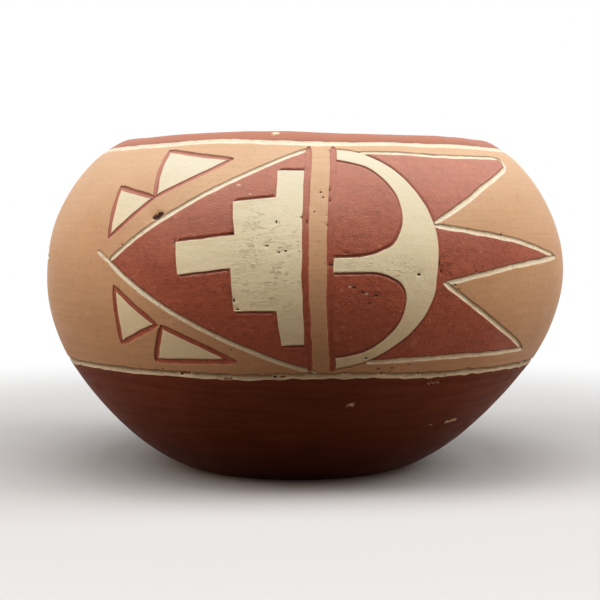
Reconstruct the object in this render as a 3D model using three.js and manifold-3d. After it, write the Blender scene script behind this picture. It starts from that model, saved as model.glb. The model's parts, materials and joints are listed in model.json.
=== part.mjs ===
// Coil-built pottery bowl with a carved, slip-painted band round its belly.
// Millimetres, +Z up. The origin is the middle of the flat foot, and the front panel faces -Y.
// The clay is a moulded base with coils stacked on it. A tan slip coat lies on the belly. The
// figures are cut out of that coat and filled with red or cream slip, and the incised lines
// round them are painted strips that lie lower than the figures.
import * as THREE from 'three';
import { mergeVertices } from 'three/addons/utils/BufferGeometryUtils.js';
import Module from 'manifold-3d';

const wasm = await Module();
wasm.setup();

// Vessel: outside line, wall and floor
const height = 120;
const footRadius = 39.6;
const turnRadius = 61;
const turnHeight = 8.8;
const waistRadius = 86;
const waistHeight = 40.6;
const waistHandle = 16;
const bellyRadius = 95;
const bellyHeight = 73;
const bellyHandle = 22;
const lipHandle = 15.4;
const lipLean = 60;
const mouthRadius = 63.6;
const wall = 6.5;
const floorThickness = 8;
const floorFlatRadius = 22;

// Coil joints, and the heights of the two white lines that bound the band
const baseJointHeight = 20;
const waistJointRise = 3;
const coveredCoils = ['belly_coil', 'upper_belly_coil', 'shoulder_coil', 'neck_coil'];
const rimJointDrop = 3;
const collarDrop = 4.4;

// Slip coat, incised lines and the clearance round every piece laid on the clay
const slipThickness = 1.2;
const lineDepth = 0.6;
const whiteLineWidth = 1.7;
const redLineWidth = 1.4;
const clearance = 0.3;
const seatGap = 0.35;

// Panel: margins to the white lines, and the gaps between the three panels round the belly
const panelTopMargin = 2.6;
const panelFootMargin = 3.6;
const frontAngle = 3.2;
const frontGap = 44;
const backGap = 29;

// Figures of a panel, measured round the belly from the middle of its tan bar
const barWidth = 6.8;
const triangleReach = 74.8;
const triangleBow = 3.2;
const triangleOvershoot = 6;
const cloudGap = 1.4;
const cloudReach = { tall: 14, medium: 27.6, long: 46.4 };
const cloudTopMargin = { tall: 3.6, medium: 7.6, long: 10.4 };
const cloudFootMargin = { tall: 5.6, medium: 9.6, long: 12.6 };
const crescentReach = 39.2;
const crescentWidth = 10.6;
const hornWidth = 3.4;
const tongueWidth = 4.6;
const featherReach = { top: 96, belly: 108.8, foot: 92.7 };
const notchReach = 42;
const notchRise = { upper: 11.5, lower: 7.5 };

// Wedges: their rise off the triangle's edge, the shares of that edge where each pair starts,
// meets and ends, and how far the free corner of each wedge leans out and stops short of the
// panel's top or foot
const wedgeRise = 9;
const upperWedges = {
  near: 0.58, meeting: 0.23, far: 0,
  inner: { lean: 5.6, margin: 1.2 },
  outer: { lean: 3, margin: 9.4 },
};
const lowerWedges = {
  near: 0.62, meeting: 0.3, far: 0.04,
  inner: { lean: 5.2, margin: 1.9 },
  outer: { lean: 0, margin: 6.5 },
};

// Facets
const turns = 36;
const footRows = 4;
const waistRows = 3;
const shoulderRows = 6;
const lipRows = 3;
const curveSteps = 6;
const snapDistance = 0.02;
const mergeDistance = 1e-3;
const longestMitre = 2;

// Clay and slips
const finishes = {
  clay: { color: 0xb27c58, roughness: 0.95 },
  redSlip: { color: 0x7d3a2a, roughness: 0.5 },
  tanSlip: { color: 0xcf9e74, roughness: 0.8 },
  redFill: { color: 0xa85b49, roughness: 0.85 },
  creamFill: { color: 0xd9ceab, roughness: 0.95 },
  whiteLine: { color: 0xe6dcc4, roughness: 0.9 },
  redLine: { color: 0x96493a, roughness: 0.9 },
};

const point = (x, y) => new THREE.Vector2(x, y);
const radians = THREE.MathUtils.degToRad;
const coatDepth = slipThickness + seatGap;
const lipRound = wall / 2;
const lipCentre = point(mouthRadius + lipRound, height - lipRound);

// The lip's round between two angles
function lipArc(from, to) {
  const arc = new THREE.EllipseCurve(lipCentre.x, lipCentre.y, lipRound, lipRound,
    radians(from), radians(to), from > to);
  return arc.getPoints(lipRows);
}

// Stations up the outside of the wall, from the foot to the lip, each with its outward direction
function wallStations() {
  const foot = point(footRadius, 0);
  const waist = point(waistRadius, waistHeight);
  const belly = point(bellyRadius, bellyHeight);
  const lip = lipArc(lipLean, 90)[0];
  const intoLip = point(Math.sin(radians(lipLean)), -Math.cos(radians(lipLean))).multiplyScalar(lipHandle);
  const curves = [
    [new THREE.QuadraticBezierCurve(foot, point(turnRadius, turnHeight), waist), footRows],
    [new THREE.QuadraticBezierCurve(waist, point(bellyRadius, waistHeight + waistHandle), belly), waistRows],
    [new THREE.CubicBezierCurve(belly, point(bellyRadius, bellyHeight + bellyHandle),
      lip.clone().add(intoLip), lip), shoulderRows],
  ];
  const stations = [];
  for (const [curve, rows] of curves) {
    for (let row = stations.length === 0 ? 0 : 1; row <= rows; row += 1) {
      const along = curve.getTangent(row / rows);
      stations.push({ at: curve.getPoint(row / rows), out: point(along.y, -along.x) });
    }
  }
  return stations;
}

const stations = wallStations();

// The place at a depth under the outside point of a height, and the outward direction there
function underSkin(level, depth) {
  const above = stations.findIndex((station) => station.at.y > level);
  const upper = above < 1 ? stations.length - 1 : above;
  const [low, high] = [stations[upper - 1], stations[upper]];
  const share = (level - low.at.y) / (high.at.y - low.at.y);
  const out = low.out.clone().lerp(high.out, share).normalize();
  return { at: low.at.clone().lerp(high.at, share).addScaledVector(out, -depth), out };
}

// The rise that a width along the wall takes at a height
function riseOf(width, level) {
  return width * underSkin(level, 0).out.x;
}

// A line that only climbs, so that each height on it has one radius
function climbing(line) {
  const kept = [];
  for (const next of line) {
    if (kept.length === 0 || next.y > kept.at(-1).y) kept.push(next);
  }
  return kept;
}

// The wall's line at a depth under the outside
function lineAtDepth(depth) {
  return climbing(stations.map((station) => station.at.clone().addScaledVector(station.out, -depth)));
}

// The part of a climbing line between two heights
function between(line, low, high) {
  const atLevel = (level) => {
    const upper = Math.max(1, line.findIndex((entry) => entry.y >= level));
    const [below, above] = [line[upper - 1], line[upper]];
    return below.clone().lerp(above, (level - below.y) / (above.y - below.y));
  };
  return [atLevel(low), ...line.filter((entry) => entry.y > low && entry.y < high), atLevel(high)];
}

// Inside of the vessel: the floor's curve, the wall and the inner half of the lip
function insideLine() {
  const wallLine = lineAtDepth(wall).filter((entry) => entry.y >= baseJointHeight);
  const [start, next] = wallLine;
  const slope = (next.x - start.x) / (next.y - start.y);
  const heel = point(start.x - slope * (start.y - floorThickness), floorThickness);
  const floor = new THREE.QuadraticBezierCurve(point(floorFlatRadius, floorThickness), heel, start);
  return climbing([...floor.getPoints(footRows), ...wallLine, ...lipArc(lipLean + 180, 90)]);
}

// Keeps only the corners' places of a shape, and joins those that coincide
function sealed(shape) {
  shape.deleteAttribute('normal');
  shape.deleteAttribute('uv');
  return mergeVertices(shape);
}

// Turns a closed section, drawn anticlockwise, into a ring about the upright axis
function turned(section) {
  return sealed(new THREE.LatheGeometry([...section, section[0]], turns).rotateX(Math.PI / 2));
}

function solidOf(shape) {
  const vertProperties = shape.getAttribute('position').array;
  const triVerts = shape.getIndex().array;
  return new wasm.Manifold(new wasm.Mesh({ numProp: 3, vertProperties, triVerts }));
}

const outside = climbing([...stations.map((station) => station.at), ...lipArc(lipLean, 90)]);
const underCoat = lineAtDepth(coatDepth);
const inside = insideLine();
const waistJointHeight = waistHeight + waistJointRise;
const collarHeight = height - collarDrop;
const rimJointHeight = collarHeight - rimJointDrop;
const coilRise = (rimJointHeight - waistJointHeight) / coveredCoils.length;

// The moulded base: a solid floor with the start of the wall
function mouldedBase() {
  const bowl = between(inside, floorThickness, baseJointHeight).reverse();
  return turned([point(0, 0), ...between(outside, 0, baseJointHeight), ...bowl, point(0, floorThickness)]);
}

// The coil under the waist, rebated above for the white line and the tan coat
function lowerCoil() {
  const seatLevel = waistHeight - riseOf(whiteLineWidth / 2 + clearance, waistHeight);
  const seat = underSkin(seatLevel, coatDepth).at;
  const open = between(outside, baseJointHeight, seatLevel);
  const covered = between(underCoat, seat.y, waistJointHeight);
  return turned([...open, ...covered, ...between(inside, baseJointHeight, waistJointHeight).reverse()]);
}

// A coil that the tan coat covers
function coveredCoil(low, high) {
  return turned([...between(underCoat, low, high), ...between(inside, low, high).reverse()]);
}

// The rim coil, rebated below for the white line and the tan coat, with the rounded lip
function rimCoil() {
  const seatLevel = collarHeight + riseOf(whiteLineWidth / 2 + clearance, collarHeight);
  const seat = underSkin(seatLevel, coatDepth).at;
  const covered = between(underCoat, rimJointHeight, seat.y);
  const open = between(outside, seatLevel, height);
  return turned([...covered, ...open, ...between(inside, rimJointHeight, height).reverse().slice(1)]);
}

// A ring laid on the clay between two heights of the outside, with its top and back at two depths
function coat(low, high, top, back) {
  const rows = stations.map((station) => station.at.y).filter((level) => level > low && level < high);
  const levels = [low, ...rows, high];
  const front = levels.map((level) => underSkin(level, top).at);
  const rear = levels.map((level) => underSkin(level, back).at).reverse();
  return turned([...front, ...rear]);
}

function whiteLine(level) {
  const half = riseOf(whiteLineWidth / 2, level);
  return coat(level - half, level + half, lineDepth, slipThickness);
}

// Flat drawing of a panel: x is the length round the belly from the bar, y the height
const panelTop = collarHeight - panelTopMargin;
const panelFoot = waistHeight + panelFootMargin;
const panelMiddle = (panelTop + panelFoot) / 2;
const panelHalf = (panelTop - panelFoot) / 2;
const barEdge = (barWidth + redLineWidth) / 2;

// Moves a flat line sideways, to the right of its run, by a true distance on the rounded wall.
// A sharp corner keeps its full mitre on the inside and is cut square on the outside.
function shifted(line, distance, closed) {
  const last = line.length - 1;
  return line.flatMap((corner, index) => {
    const before = line[index > 0 ? index - 1 : last];
    const after = line[index < last ? index + 1 : 0];
    const into = corner.clone().sub(before).normalize();
    const onward = after.clone().sub(corner).normalize();
    if (!closed && index === 0) into.copy(onward);
    if (!closed && index === last) onward.copy(into);
    const side = point(into.y + onward.y, -into.x - onward.x).normalize();
    const mitre = 1 / side.dot(point(onward.y, -onward.x));
    const outward = into.cross(onward) * distance > 0;
    const past = Math.sign(distance);
    const square = [point(into.y + past * into.x, past * into.y - into.x),
      point(onward.y - past * onward.x, -onward.x - past * onward.y)];
    const moves = outward && mitre > longestMitre ? square : [side.multiplyScalar(mitre)];
    const { at, out } = underSkin(corner.y, 0);
    const widening = bellyRadius / at.x;
    return moves.map((move) => point(corner.x + move.x * distance * widening,
      corner.y + move.y * distance * out.x));
  });
}

// A closed outline made larger, or smaller by a negative distance
function grown(outline, distance) {
  return shifted(outline, distance * Math.sign(THREE.ShapeUtils.area(outline)), true);
}

// A line of paint along a path
function strip(path, width) {
  return [...shifted(path, width / 2, false), ...shifted(path, -width / 2, false).reverse()];
}

// The place at a height, at a true distance from the middle of the bar
function besideBar(distance, level) {
  return point((distance * bellyRadius) / underSkin(level, 0).at.x, level);
}

// The upright path at a true distance from the middle of the bar
function barPath(distance) {
  const path = [];
  for (let step = 0; step <= curveSteps; step += 1) {
    path.push(besideBar(distance, panelFoot + ((panelTop - panelFoot) * step) / curveSteps));
  }
  return path;
}

// The triangle's edge from its apex to the bar, upper (1) or lower (-1)
function triangleEdge(side) {
  const apex = point(-triangleReach, panelMiddle);
  const corner = besideBar(-barEdge, panelMiddle + side * panelHalf);
  const bow = apex.clone().lerp(corner, 1 / 2).add(point(0, 2 * side * triangleBow));
  return new THREE.QuadraticBezierCurve(apex, bow, corner);
}

// The stepped cloud: each step stops short of the triangle's edge by its margin
function cloudOutline() {
  const stepsOf = (side, margins) => {
    const edge = triangleEdge(side).getPoints(curveSteps);
    const corners = Object.entries(cloudReach).map(([step, reach]) => {
      const after = edge.findIndex((entry) => entry.x > -reach);
      const share = (-reach - edge[after - 1].x) / (edge[after].x - edge[after - 1].x);
      const edgeLevel = edge[after - 1].clone().lerp(edge[after], share).y;
      return point(-reach, edgeLevel - side * margins[step]);
    });
    return corners.flatMap((corner, index) => {
      const near = index > 0 ? point(corners[index - 1].x, corner.y)
        : besideBar(-barEdge - cloudGap, corner.y);
      return [near, corner];
    });
  };
  return [...stepsOf(1, cloudTopMargin), ...stepsOf(-1, cloudFootMargin).reverse()];
}

function triangleFigures() {
  const upper = triangleEdge(1).getPoints(curveSteps);
  const lower = triangleEdge(-1).getPoints(curveSteps);
  const past = lower[0].clone().sub(lower[1]).setLength(triangleOvershoot).add(lower[0]);
  const barSide = barPath(-barWidth / 2);
  return [
    { name: 'bar_left_line', outlines: [strip(barSide, redLineWidth)], finish: 'redLine' },
    {
      name: 'triangle_line',
      outlines: [strip(upper, whiteLineWidth), strip([past, ...lower], whiteLineWidth)],
      finish: 'whiteLine',
    },
    { name: 'stepped_cloud', outlines: [cloudOutline()], finish: 'creamFill' },
    {
      name: 'triangle_field',
      outlines: [[...lower, ...barSide, ...upper.slice(1).reverse()]],
      finish: 'redFill',
    },
  ];
}

// The bulging side of a half ellipse that stands on the bar, from its foot to its top
function bulge(start, reach, half) {
  const quarter = Math.PI / 2;
  return new THREE.EllipseCurve(start, panelMiddle, reach - start, half, -quarter, quarter)
    .getPoints(2 * curveSteps);
}

// The red field inside the crescent, above (1) or below (-1) its tongue
function sunField(side) {
  const reach = crescentReach - crescentWidth;
  const level = panelMiddle + (side * tongueWidth) / 2;
  const arc = bulge(barEdge + clearance, reach, panelHalf - hornWidth)
    .filter((entry) => side * (entry.y - level) > tongueWidth);
  if (side < 0) arc.reverse();
  const shoulder = new THREE.QuadraticBezierCurve(point(reach / 2, level), point(reach, level), arc[0]);
  return [point(barEdge + clearance, level), ...shoulder.getPoints(curveSteps / 2), ...arc.slice(1)];
}

function crescentFigures() {
  return [
    { name: 'bar_right_line', outlines: [strip(barPath(barWidth / 2), redLineWidth)], finish: 'redLine' },
    { name: 'upper_sun_field', outlines: [sunField(1)], finish: 'redFill' },
    { name: 'lower_sun_field', outlines: [sunField(-1)], finish: 'redFill' },
    {
      name: 'crescent',
      outlines: [bulge(barEdge + clearance, crescentReach, panelHalf)],
      finish: 'creamFill',
    },
  ];
}

// Three feather points behind the crescent, with the white line that runs round them
function featherFigures() {
  const start = crescentReach / 2;
  const edge = [
    point(start, panelFoot),
    point(featherReach.foot, panelFoot),
    point(notchReach, panelMiddle - notchRise.lower),
    point(featherReach.belly, panelMiddle),
    point(notchReach, panelMiddle + notchRise.upper),
    point(featherReach.top, panelTop),
    point(start, panelTop),
  ];
  return [
    { name: 'feather_line', outlines: [strip(edge, whiteLineWidth)], finish: 'whiteLine' },
    { name: 'feather_field', outlines: [edge], finish: 'redFill' },
  ];
}

// A pair of cream wedges beyond the triangle's edge, upper (1) or lower (-1), and their red outline
function wedgeFigures(side, word, { near, meeting, far, inner, outer }) {
  const place = (share) => triangleEdge(side).getPoint(share).add(point(0, side * wedgeRise));
  const edge = panelMiddle + side * panelHalf;
  const wedge = (start, end, { lean, margin }) => [start, end, point(end.x - lean, edge - side * margin)];
  const innerWedge = wedge(place(near), place(meeting), inner);
  const outerWedge = wedge(place(meeting), place(far), outer);
  const half = redLineWidth / 2;
  return [
    { name: `${word}_inner_wedge`, outlines: [grown(innerWedge, -half)], finish: 'creamFill' },
    { name: `${word}_outer_wedge`, outlines: [grown(outerWedge, -half)], finish: 'creamFill' },
    { name: `${word}_wedge_line`, outlines: [grown(innerWedge, half), grown(outerWedge, half)],
      finish: 'redLine' },
  ];
}

// A flat solid of outlines between two depths under the outside
function flatSolid(outlines, top, back) {
  return outlines
    .map((outline) => new THREE.ExtrudeGeometry(new THREE.Shape(outline),
      { depth: back - top, bevelEnabled: false }))
    .map((shape) => solidOf(sealed(shape.translate(0, 0, -back))))
    .reduce((whole, next) => whole.add(next));
}

// The front panel at full width, and two narrower ones that share what is left of the belly.
// The seam of the flat drawing lies at a facet line in the gap between those two.
function panelLayout() {
  const left = triangleReach + triangleOvershoot;
  const right = featherReach.belly;
  const front = radians(frontAngle) * bellyRadius;
  const stretch = (beltLength - left - right - frontGap - 2 * backGap) / (2 * (left + right));
  const leftPlace = front - left - frontGap - right * stretch;
  const rightPlace = front + right + backGap + left * stretch;
  const seam = Math.round((leftPlace - left * stretch - backGap / 2) / facetWidth) * facetWidth;
  const panels = [
    { name: 'front', place: front, stretch: 1 },
    { name: 'left', place: leftPlace, stretch },
    { name: 'right', place: rightPlace, stretch },
  ];
  return { panels, seam };
}

const beltLength = 2 * Math.PI * bellyRadius;
const facetWidth = beltLength / turns;
const { panels, seam } = panelLayout();
const uprightLines = Array.from({ length: turns + 1 }, (_, index) => seam + index * facetWidth);
const levelLines = stations.map((station) => station.at.y);

// Cuts flat solids along lines across an axis: 0 for upright lines, 1 for level ones
function cutAlong(solids, axis, lines) {
  const across = [1 - axis, axis, 0];
  return solids.flatMap((solid) => {
    const { min, max } = solid.boundingBox();
    const parts = [];
    let rest = solid;
    for (const line of lines.filter((entry) => entry > min[axis] && entry < max[axis])) {
      const [beyond, before] = rest.splitByPlane(across, line);
      parts.push(before);
      rest = beyond;
    }
    return [...parts, rest].filter((part) => !part.isEmpty());
  });
}

// The place on the faceted wall of a place in the flat drawing
function onWall(corner) {
  const facet = (2 * Math.PI) / turns;
  const angle = corner.x / bellyRadius;
  const middle = (Math.floor(angle / facet) + 1 / 2) * facet;
  const { at } = underSkin(corner.y, -corner.z);
  const reach = (at.x * Math.cos(facet / 2)) / Math.cos(angle - middle);
  return new THREE.Vector3(reach * Math.sin(angle), -reach * Math.cos(angle), at.y);
}

const closeTo = (value, others) => others.find((other) => Math.abs(other - value) < snapDistance) ?? value;

// One closed skin out of the parts of a flat solid that is cut along the facet lines. Corners on
// a facet line share their places, and a face in a cut is kept only where nothing lies beyond it.
class Skin {
  constructor({ min, max }) {
    this.back = min[2];
    this.front = max[2];
    this.cuts = new Map();
    this.triangles = [];
  }

  // The cut that runs along a facet line: upright (axis 0) or level (axis 1)
  cutAt(axis, value) {
    const index = [uprightLines, levelLines][axis].indexOf(value);
    const key = index < 0 ? undefined : `${axis} ${axis === 0 ? index % turns : index}`;
    if (key && !this.cuts.has(key)) this.cuts.set(key, { axis, line: value, places: [], runs: [] });
    return this.cuts.get(key);
  }

  // A corner moved onto the facet lines and the shared places that it lies close to
  settled(x, y, z) {
    const level = z > (this.back + this.front) / 2 ? this.front : this.back;
    const corner = new THREE.Vector3(closeTo(x, uprightLines), closeTo(y, levelLines), level);
    for (const axis of [0, 1]) {
      const cut = this.cutAt(axis, corner.getComponent(axis));
      if (cut) {
        const place = closeTo(corner.getComponent(1 - axis), cut.places);
        if (!cut.places.includes(place)) cut.places.push(place);
        corner.setComponent(1 - axis, place);
      }
    }
    return corner;
  }

  // Takes in a triangle, or only the run of its front edges where it lies in a cut
  add(triangle) {
    const [one, two, three] = triangle;
    const edges = [[one, two], [two, three], [three, one]];
    for (const axis of [0, 1]) {
      const cut = this.cutAt(axis, one.getComponent(axis));
      if (cut && edges.every(([from, to]) => from.getComponent(axis) === to.getComponent(axis))) {
        const frontEdges = edges.filter(([from, to]) => from.z === this.front && to.z === this.front);
        cut.runs.push(...frontEdges.map((edge) => edge.map((corner) => corner.getComponent(1 - axis))));
        return;
      }
    }
    if (!edges.some(([from, to]) => from.equals(to))) this.triangles.push(triangle);
  }

  // Splits a triangle at each shared place on an edge of it that follows a facet line
  stitched(triangle) {
    for (const [index, one] of triangle.entries()) {
      const two = triangle[(index + 1) % 3];
      const third = triangle[(index + 2) % 3];
      for (const axis of [0, 1]) {
        const [from, to] = [one.getComponent(1 - axis), two.getComponent(1 - axis)];
        const follows = one.z === two.z && one.getComponent(axis) === two.getComponent(axis);
        const places = (follows && this.cutAt(axis, one.getComponent(axis))?.places) || [];
        const place = places.find((entry) => (entry - from) * (entry - to) < 0);
        if (place !== undefined) {
          const middle = one.clone().setComponent(1 - axis, place);
          return [...this.stitched([one, middle, third]), ...this.stitched([middle, two, third])];
        }
      }
    }
    return [triangle];
  }

  // The faces of a cut that have nothing beyond them
  openFaces({ axis, line, places, runs }) {
    const corner = (place, level) => new THREE.Vector3(0, 0, level)
      .setComponent(axis, line).setComponent(1 - axis, place);
    const ordered = [...places].sort((one, other) => one - other);
    return ordered.slice(1).flatMap((high, index) => {
      const low = ordered[index];
      const onward = runs.filter(([from, to]) => from <= low && to >= high).length;
      const backward = runs.filter(([from, to]) => from >= high && to <= low).length;
      if (onward === backward) return [];
      const [from, to] = onward > backward ? [low, high] : [high, low];
      const [start, end] = [corner(from, this.front), corner(to, this.back)];
      return [[start, corner(to, this.front), end], [start, end, corner(from, this.back)]];
    });
  }

  shape() {
    const faces = [...this.cuts.values()].flatMap((cut) => this.openFaces(cut));
    const skin = [...this.triangles.flatMap((triangle) => this.stitched(triangle)), ...faces];
    return mergeVertices(new THREE.BufferGeometry().setFromPoints(skin.flat().map(onWall)), mergeDistance);
  }
}

// Lays a flat solid on the wall, where it bends at the wall's facet lines
function laid(solid) {
  const skin = new Skin(solid.boundingBox());
  for (const part of cutAlong(cutAlong([solid], 0, uprightLines), 1, levelLines)) {
    const { vertProperties, triVerts } = part.getMesh();
    for (let first = 0; first < triVerts.length; first += 3) {
      skin.add([...triVerts.subarray(first, first + 3)]
        .map((corner) => skin.settled(...vertProperties.subarray(3 * corner, 3 * corner + 3))));
    }
  }
  return skin.shape();
}

function meshOf(name, finish, shape) {
  shape.computeVertexNormals();
  const material = new THREE.MeshStandardMaterial({ ...finishes[finish], metalness: 0 });
  const mesh = new THREE.Mesh(shape, material);
  mesh.name = name;
  return mesh;
}

const bowl = new THREE.Group();
bowl.add(
  meshOf('moulded_base', 'redSlip', mouldedBase()),
  meshOf('lower_coil', 'redSlip', lowerCoil()),
  ...coveredCoils.map((name, index) => meshOf(name, 'clay',
    coveredCoil(waistJointHeight + index * coilRise, waistJointHeight + (index + 1) * coilRise))),
  meshOf('rim_coil', 'redSlip', rimCoil()),
  meshOf('waist_white_line', 'whiteLine', whiteLine(waistHeight)),
  meshOf('collar_white_line', 'whiteLine', whiteLine(collarHeight)),
);

// Figures in the order they were laid: each is cut clear of those before it
const figures = [
  ...triangleFigures(),
  ...crescentFigures(),
  ...featherFigures(),
  ...wedgeFigures(1, 'upper', upperWedges),
  ...wedgeFigures(-1, 'lower', lowerWedges),
].sort((one, other) => laidOrder(one) - laidOrder(other));

function laidOrder({ name, finish }) {
  if (name.startsWith('bar')) return 0;
  if (name.endsWith('wedge')) return 1;
  if (name.endsWith('line')) return 2;
  if (name.endsWith('sun_field')) return 3;
  return finish === 'creamFill' ? 4 : 5;
}

const bandFoot = waistHeight + riseOf(whiteLineWidth / 2 + clearance, waistHeight);
const bandTop = collarHeight - riseOf(whiteLineWidth / 2 + clearance, collarHeight);
const beltEnd = seam + beltLength;
const belt = [point(seam, bandFoot), point(beltEnd, bandFoot), point(beltEnd, bandTop), point(seam, bandTop)];
let tanCoat = flatSolid([belt], 0, slipThickness);

for (const { name: side, place, stretch } of panels) {
  const placed = (outline) => outline.map((corner) => point(place + corner.x * stretch, corner.y));
  let taken;
  for (const { name, outlines, finish } of figures) {
    const top = finish.endsWith('Line') ? lineDepth : 0;
    const whole = flatSolid(outlines.map(placed), top, slipThickness);
    bowl.add(meshOf(`${side}_${name}`, finish, laid(taken ? whole.subtract(taken) : whole)));
    const room = outlines.map((outline) => placed(grown(outline, clearance)));
    const cut = flatSolid(room, -slipThickness, 2 * slipThickness);
    taken = taken ? taken.add(cut) : cut;
  }
  tanCoat = tanCoat.subtract(taken);
}
bowl.add(meshOf('tan_slip_coat', 'tanSlip', laid(tanCoat)));

export default bowl;
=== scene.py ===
"""Pottery bowl, coil-built, with a carved band of slip-painted figures round its belly.

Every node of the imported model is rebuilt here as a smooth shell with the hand's unevenness, in the
node's own place. Lengths are millimetres until a mesh is made. The figures are drawn in degrees
round the bowl from its front, positive to the right, and in heights above the foot.
"""

import json
import logging
import math
from dataclasses import dataclass, field
from enum import Enum
from typing import Sequence

import bpy
import numpy as np
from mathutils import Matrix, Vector
from mathutils.geometry import delaunay_2d_cdt
from mathutils.kdtree import KDTree

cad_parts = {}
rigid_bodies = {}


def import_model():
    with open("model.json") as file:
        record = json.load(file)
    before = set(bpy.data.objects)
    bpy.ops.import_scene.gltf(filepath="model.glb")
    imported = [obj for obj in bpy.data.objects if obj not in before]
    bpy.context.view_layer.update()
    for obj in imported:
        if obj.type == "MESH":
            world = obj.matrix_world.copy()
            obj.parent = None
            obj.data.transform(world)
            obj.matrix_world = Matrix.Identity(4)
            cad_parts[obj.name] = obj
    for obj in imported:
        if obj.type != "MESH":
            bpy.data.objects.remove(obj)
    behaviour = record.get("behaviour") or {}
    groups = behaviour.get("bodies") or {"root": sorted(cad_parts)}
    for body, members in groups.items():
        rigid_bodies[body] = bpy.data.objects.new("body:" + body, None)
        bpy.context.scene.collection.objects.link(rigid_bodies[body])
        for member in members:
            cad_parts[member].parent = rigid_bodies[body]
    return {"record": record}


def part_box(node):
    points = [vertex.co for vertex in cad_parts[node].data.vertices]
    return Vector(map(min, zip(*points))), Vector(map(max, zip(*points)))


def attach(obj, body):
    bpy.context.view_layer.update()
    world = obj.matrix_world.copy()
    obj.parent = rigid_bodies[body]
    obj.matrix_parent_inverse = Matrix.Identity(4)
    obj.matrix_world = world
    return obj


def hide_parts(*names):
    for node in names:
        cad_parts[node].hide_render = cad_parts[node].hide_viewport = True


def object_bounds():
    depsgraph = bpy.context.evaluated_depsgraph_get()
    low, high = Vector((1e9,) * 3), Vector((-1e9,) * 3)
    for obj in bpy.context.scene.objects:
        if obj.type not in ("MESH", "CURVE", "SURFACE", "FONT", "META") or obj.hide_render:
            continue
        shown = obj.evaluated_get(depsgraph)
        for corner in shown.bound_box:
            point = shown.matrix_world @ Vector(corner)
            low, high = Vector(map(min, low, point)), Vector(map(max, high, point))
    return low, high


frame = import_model()
cad_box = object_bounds()

LOG = logging.getLogger("bowl")
MILLIMETRE = 0.001
TINY = 1e-12
Place = tuple[float, float]
Span = tuple[float, float]
Pair = tuple[float, float]
Triple = tuple[float, float, float]
Colour = tuple[int, int, int]
ShaderColour = tuple[float, float, float, float]
Socket = bpy.types.NodeSocket


def node_top(node: str) -> float:
    """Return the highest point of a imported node, in millimetres."""
    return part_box(node)[1].z / MILLIMETRE


def smooth_step(share: np.ndarray) -> np.ndarray:
    """Return an eased copy of shares, which are cut to between 0 and 1."""
    cut = np.clip(share, 0.0, 1.0)
    return cut * cut * (3.0 - 2.0 * cut)


def unit(vectors: np.ndarray) -> np.ndarray:
    """Return vectors, one a row, at a length of one."""
    return vectors / np.maximum(np.linalg.norm(vectors, axis=1), TINY)[:, None]


def face_normals(points: np.ndarray, faces: np.ndarray) -> np.ndarray:
    """Return a normal for each triangle, as long as twice its area."""
    first, second, third = (points[faces[:, corner]] for corner in range(3))
    return np.cross(second - first, third - first)


def bezier(knots: Sequence[Place], count: int) -> np.ndarray:
    """Sample a Bezier curve of two, three or four knots.

    Args:
        knots: The ends, with the handles between them.
        count: How many spans the samples make.

    Returns:
        An array of count + 1 places.
    """
    share = np.linspace(0.0, 1.0, count + 1)[:, None]
    rows = [np.broadcast_to(np.asarray(knot, float), (count + 1, 2)) for knot in knots]
    while len(rows) > 1:
        rows = [low * (1.0 - share) + high * share for low, high in zip(rows, rows[1:])]
    return rows[0]


def smooth_through(knots: Sequence[Place], spans: int = 8) -> np.ndarray:
    """Sample a smooth curve that passes through all its knots.

    Args:
        knots: The places to pass through.
        spans: How many samples lie between two knots.

    Returns:
        An array of places, from the first knot to the last.
    """
    held = np.asarray([knots[0], *knots, knots[-1]], float)
    share = np.arange(spans)[:, None] / spans
    parts = []
    for before, start, end, after in zip(held, held[1:], held[2:], held[3:]):
        leave, arrive = (end - before) / 2.0, (after - start) / 2.0
        turn, bend = end - start, leave + arrive
        parts.append(start + share * leave + share**2 * (3.0 * turn - leave - bend)
                     + share**3 * (bend - 2.0 * turn))
    return np.vstack([*parts, held[-1:]])


def lift(knots: Sequence[Place], degrees: np.ndarray) -> np.ndarray:
    """Return how far a level line rises at angles round the bowl, smoothly between knots.

    Args:
        knots: Angles and rises.
        degrees: The angles wanted.

    Returns:
        The rises, in millimetres.
    """
    line = smooth_through(knots)
    return np.interp(degrees, line[:, 0], line[:, 1])


@dataclass(frozen=True)
class Swelling:
    """A place where the hand left the wall fuller or flatter.

    Attributes:
        at: Degrees round the bowl and height of its middle.
        reach: How far it reaches each way, in degrees and millimetres.
        rise: How far it stands out.
    """

    at: Place
    reach: Place
    rise: float

    def over(self, degrees: np.ndarray, height: np.ndarray) -> np.ndarray:
        """Return how far the wall stands out at places."""
        turn = (degrees - self.at[0] + 180.0) % 360.0 - 180.0
        away = (turn / self.reach[0]) ** 2 + ((height - self.at[1]) / self.reach[1]) ** 2
        return self.rise * np.exp(-away)


@dataclass
class Waves:
    """Seeded, smooth unevenness through space, as a sum of plane waves.

    Attributes:
        seed: Chooses the waves.
        length: Their usual length, in millimetres.
        count: How many there are.
        spread: Shares of that length that they lie between.
    """

    seed: int
    length: float
    count: int = 16
    spread: Span = (0.6, 1.6)

    def __post_init__(self) -> None:
        """Draw the waves' directions, lengths and phases."""
        draw = np.random.default_rng(self.seed)
        aims = unit(draw.normal(size=(self.count, 3)))
        lengths = self.length * draw.uniform(*self.spread, self.count)
        self.turns = aims * (2.0 * math.pi / lengths)[:, None]
        self.phases = draw.uniform(0.0, 2.0 * math.pi, self.count)

    def at(self, points: np.ndarray) -> np.ndarray:
        """Return the unevenness at points, mostly between -1 and 1."""
        return np.sin(points @ self.turns.T + self.phases).sum(axis=1) / math.sqrt(self.count)


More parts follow.
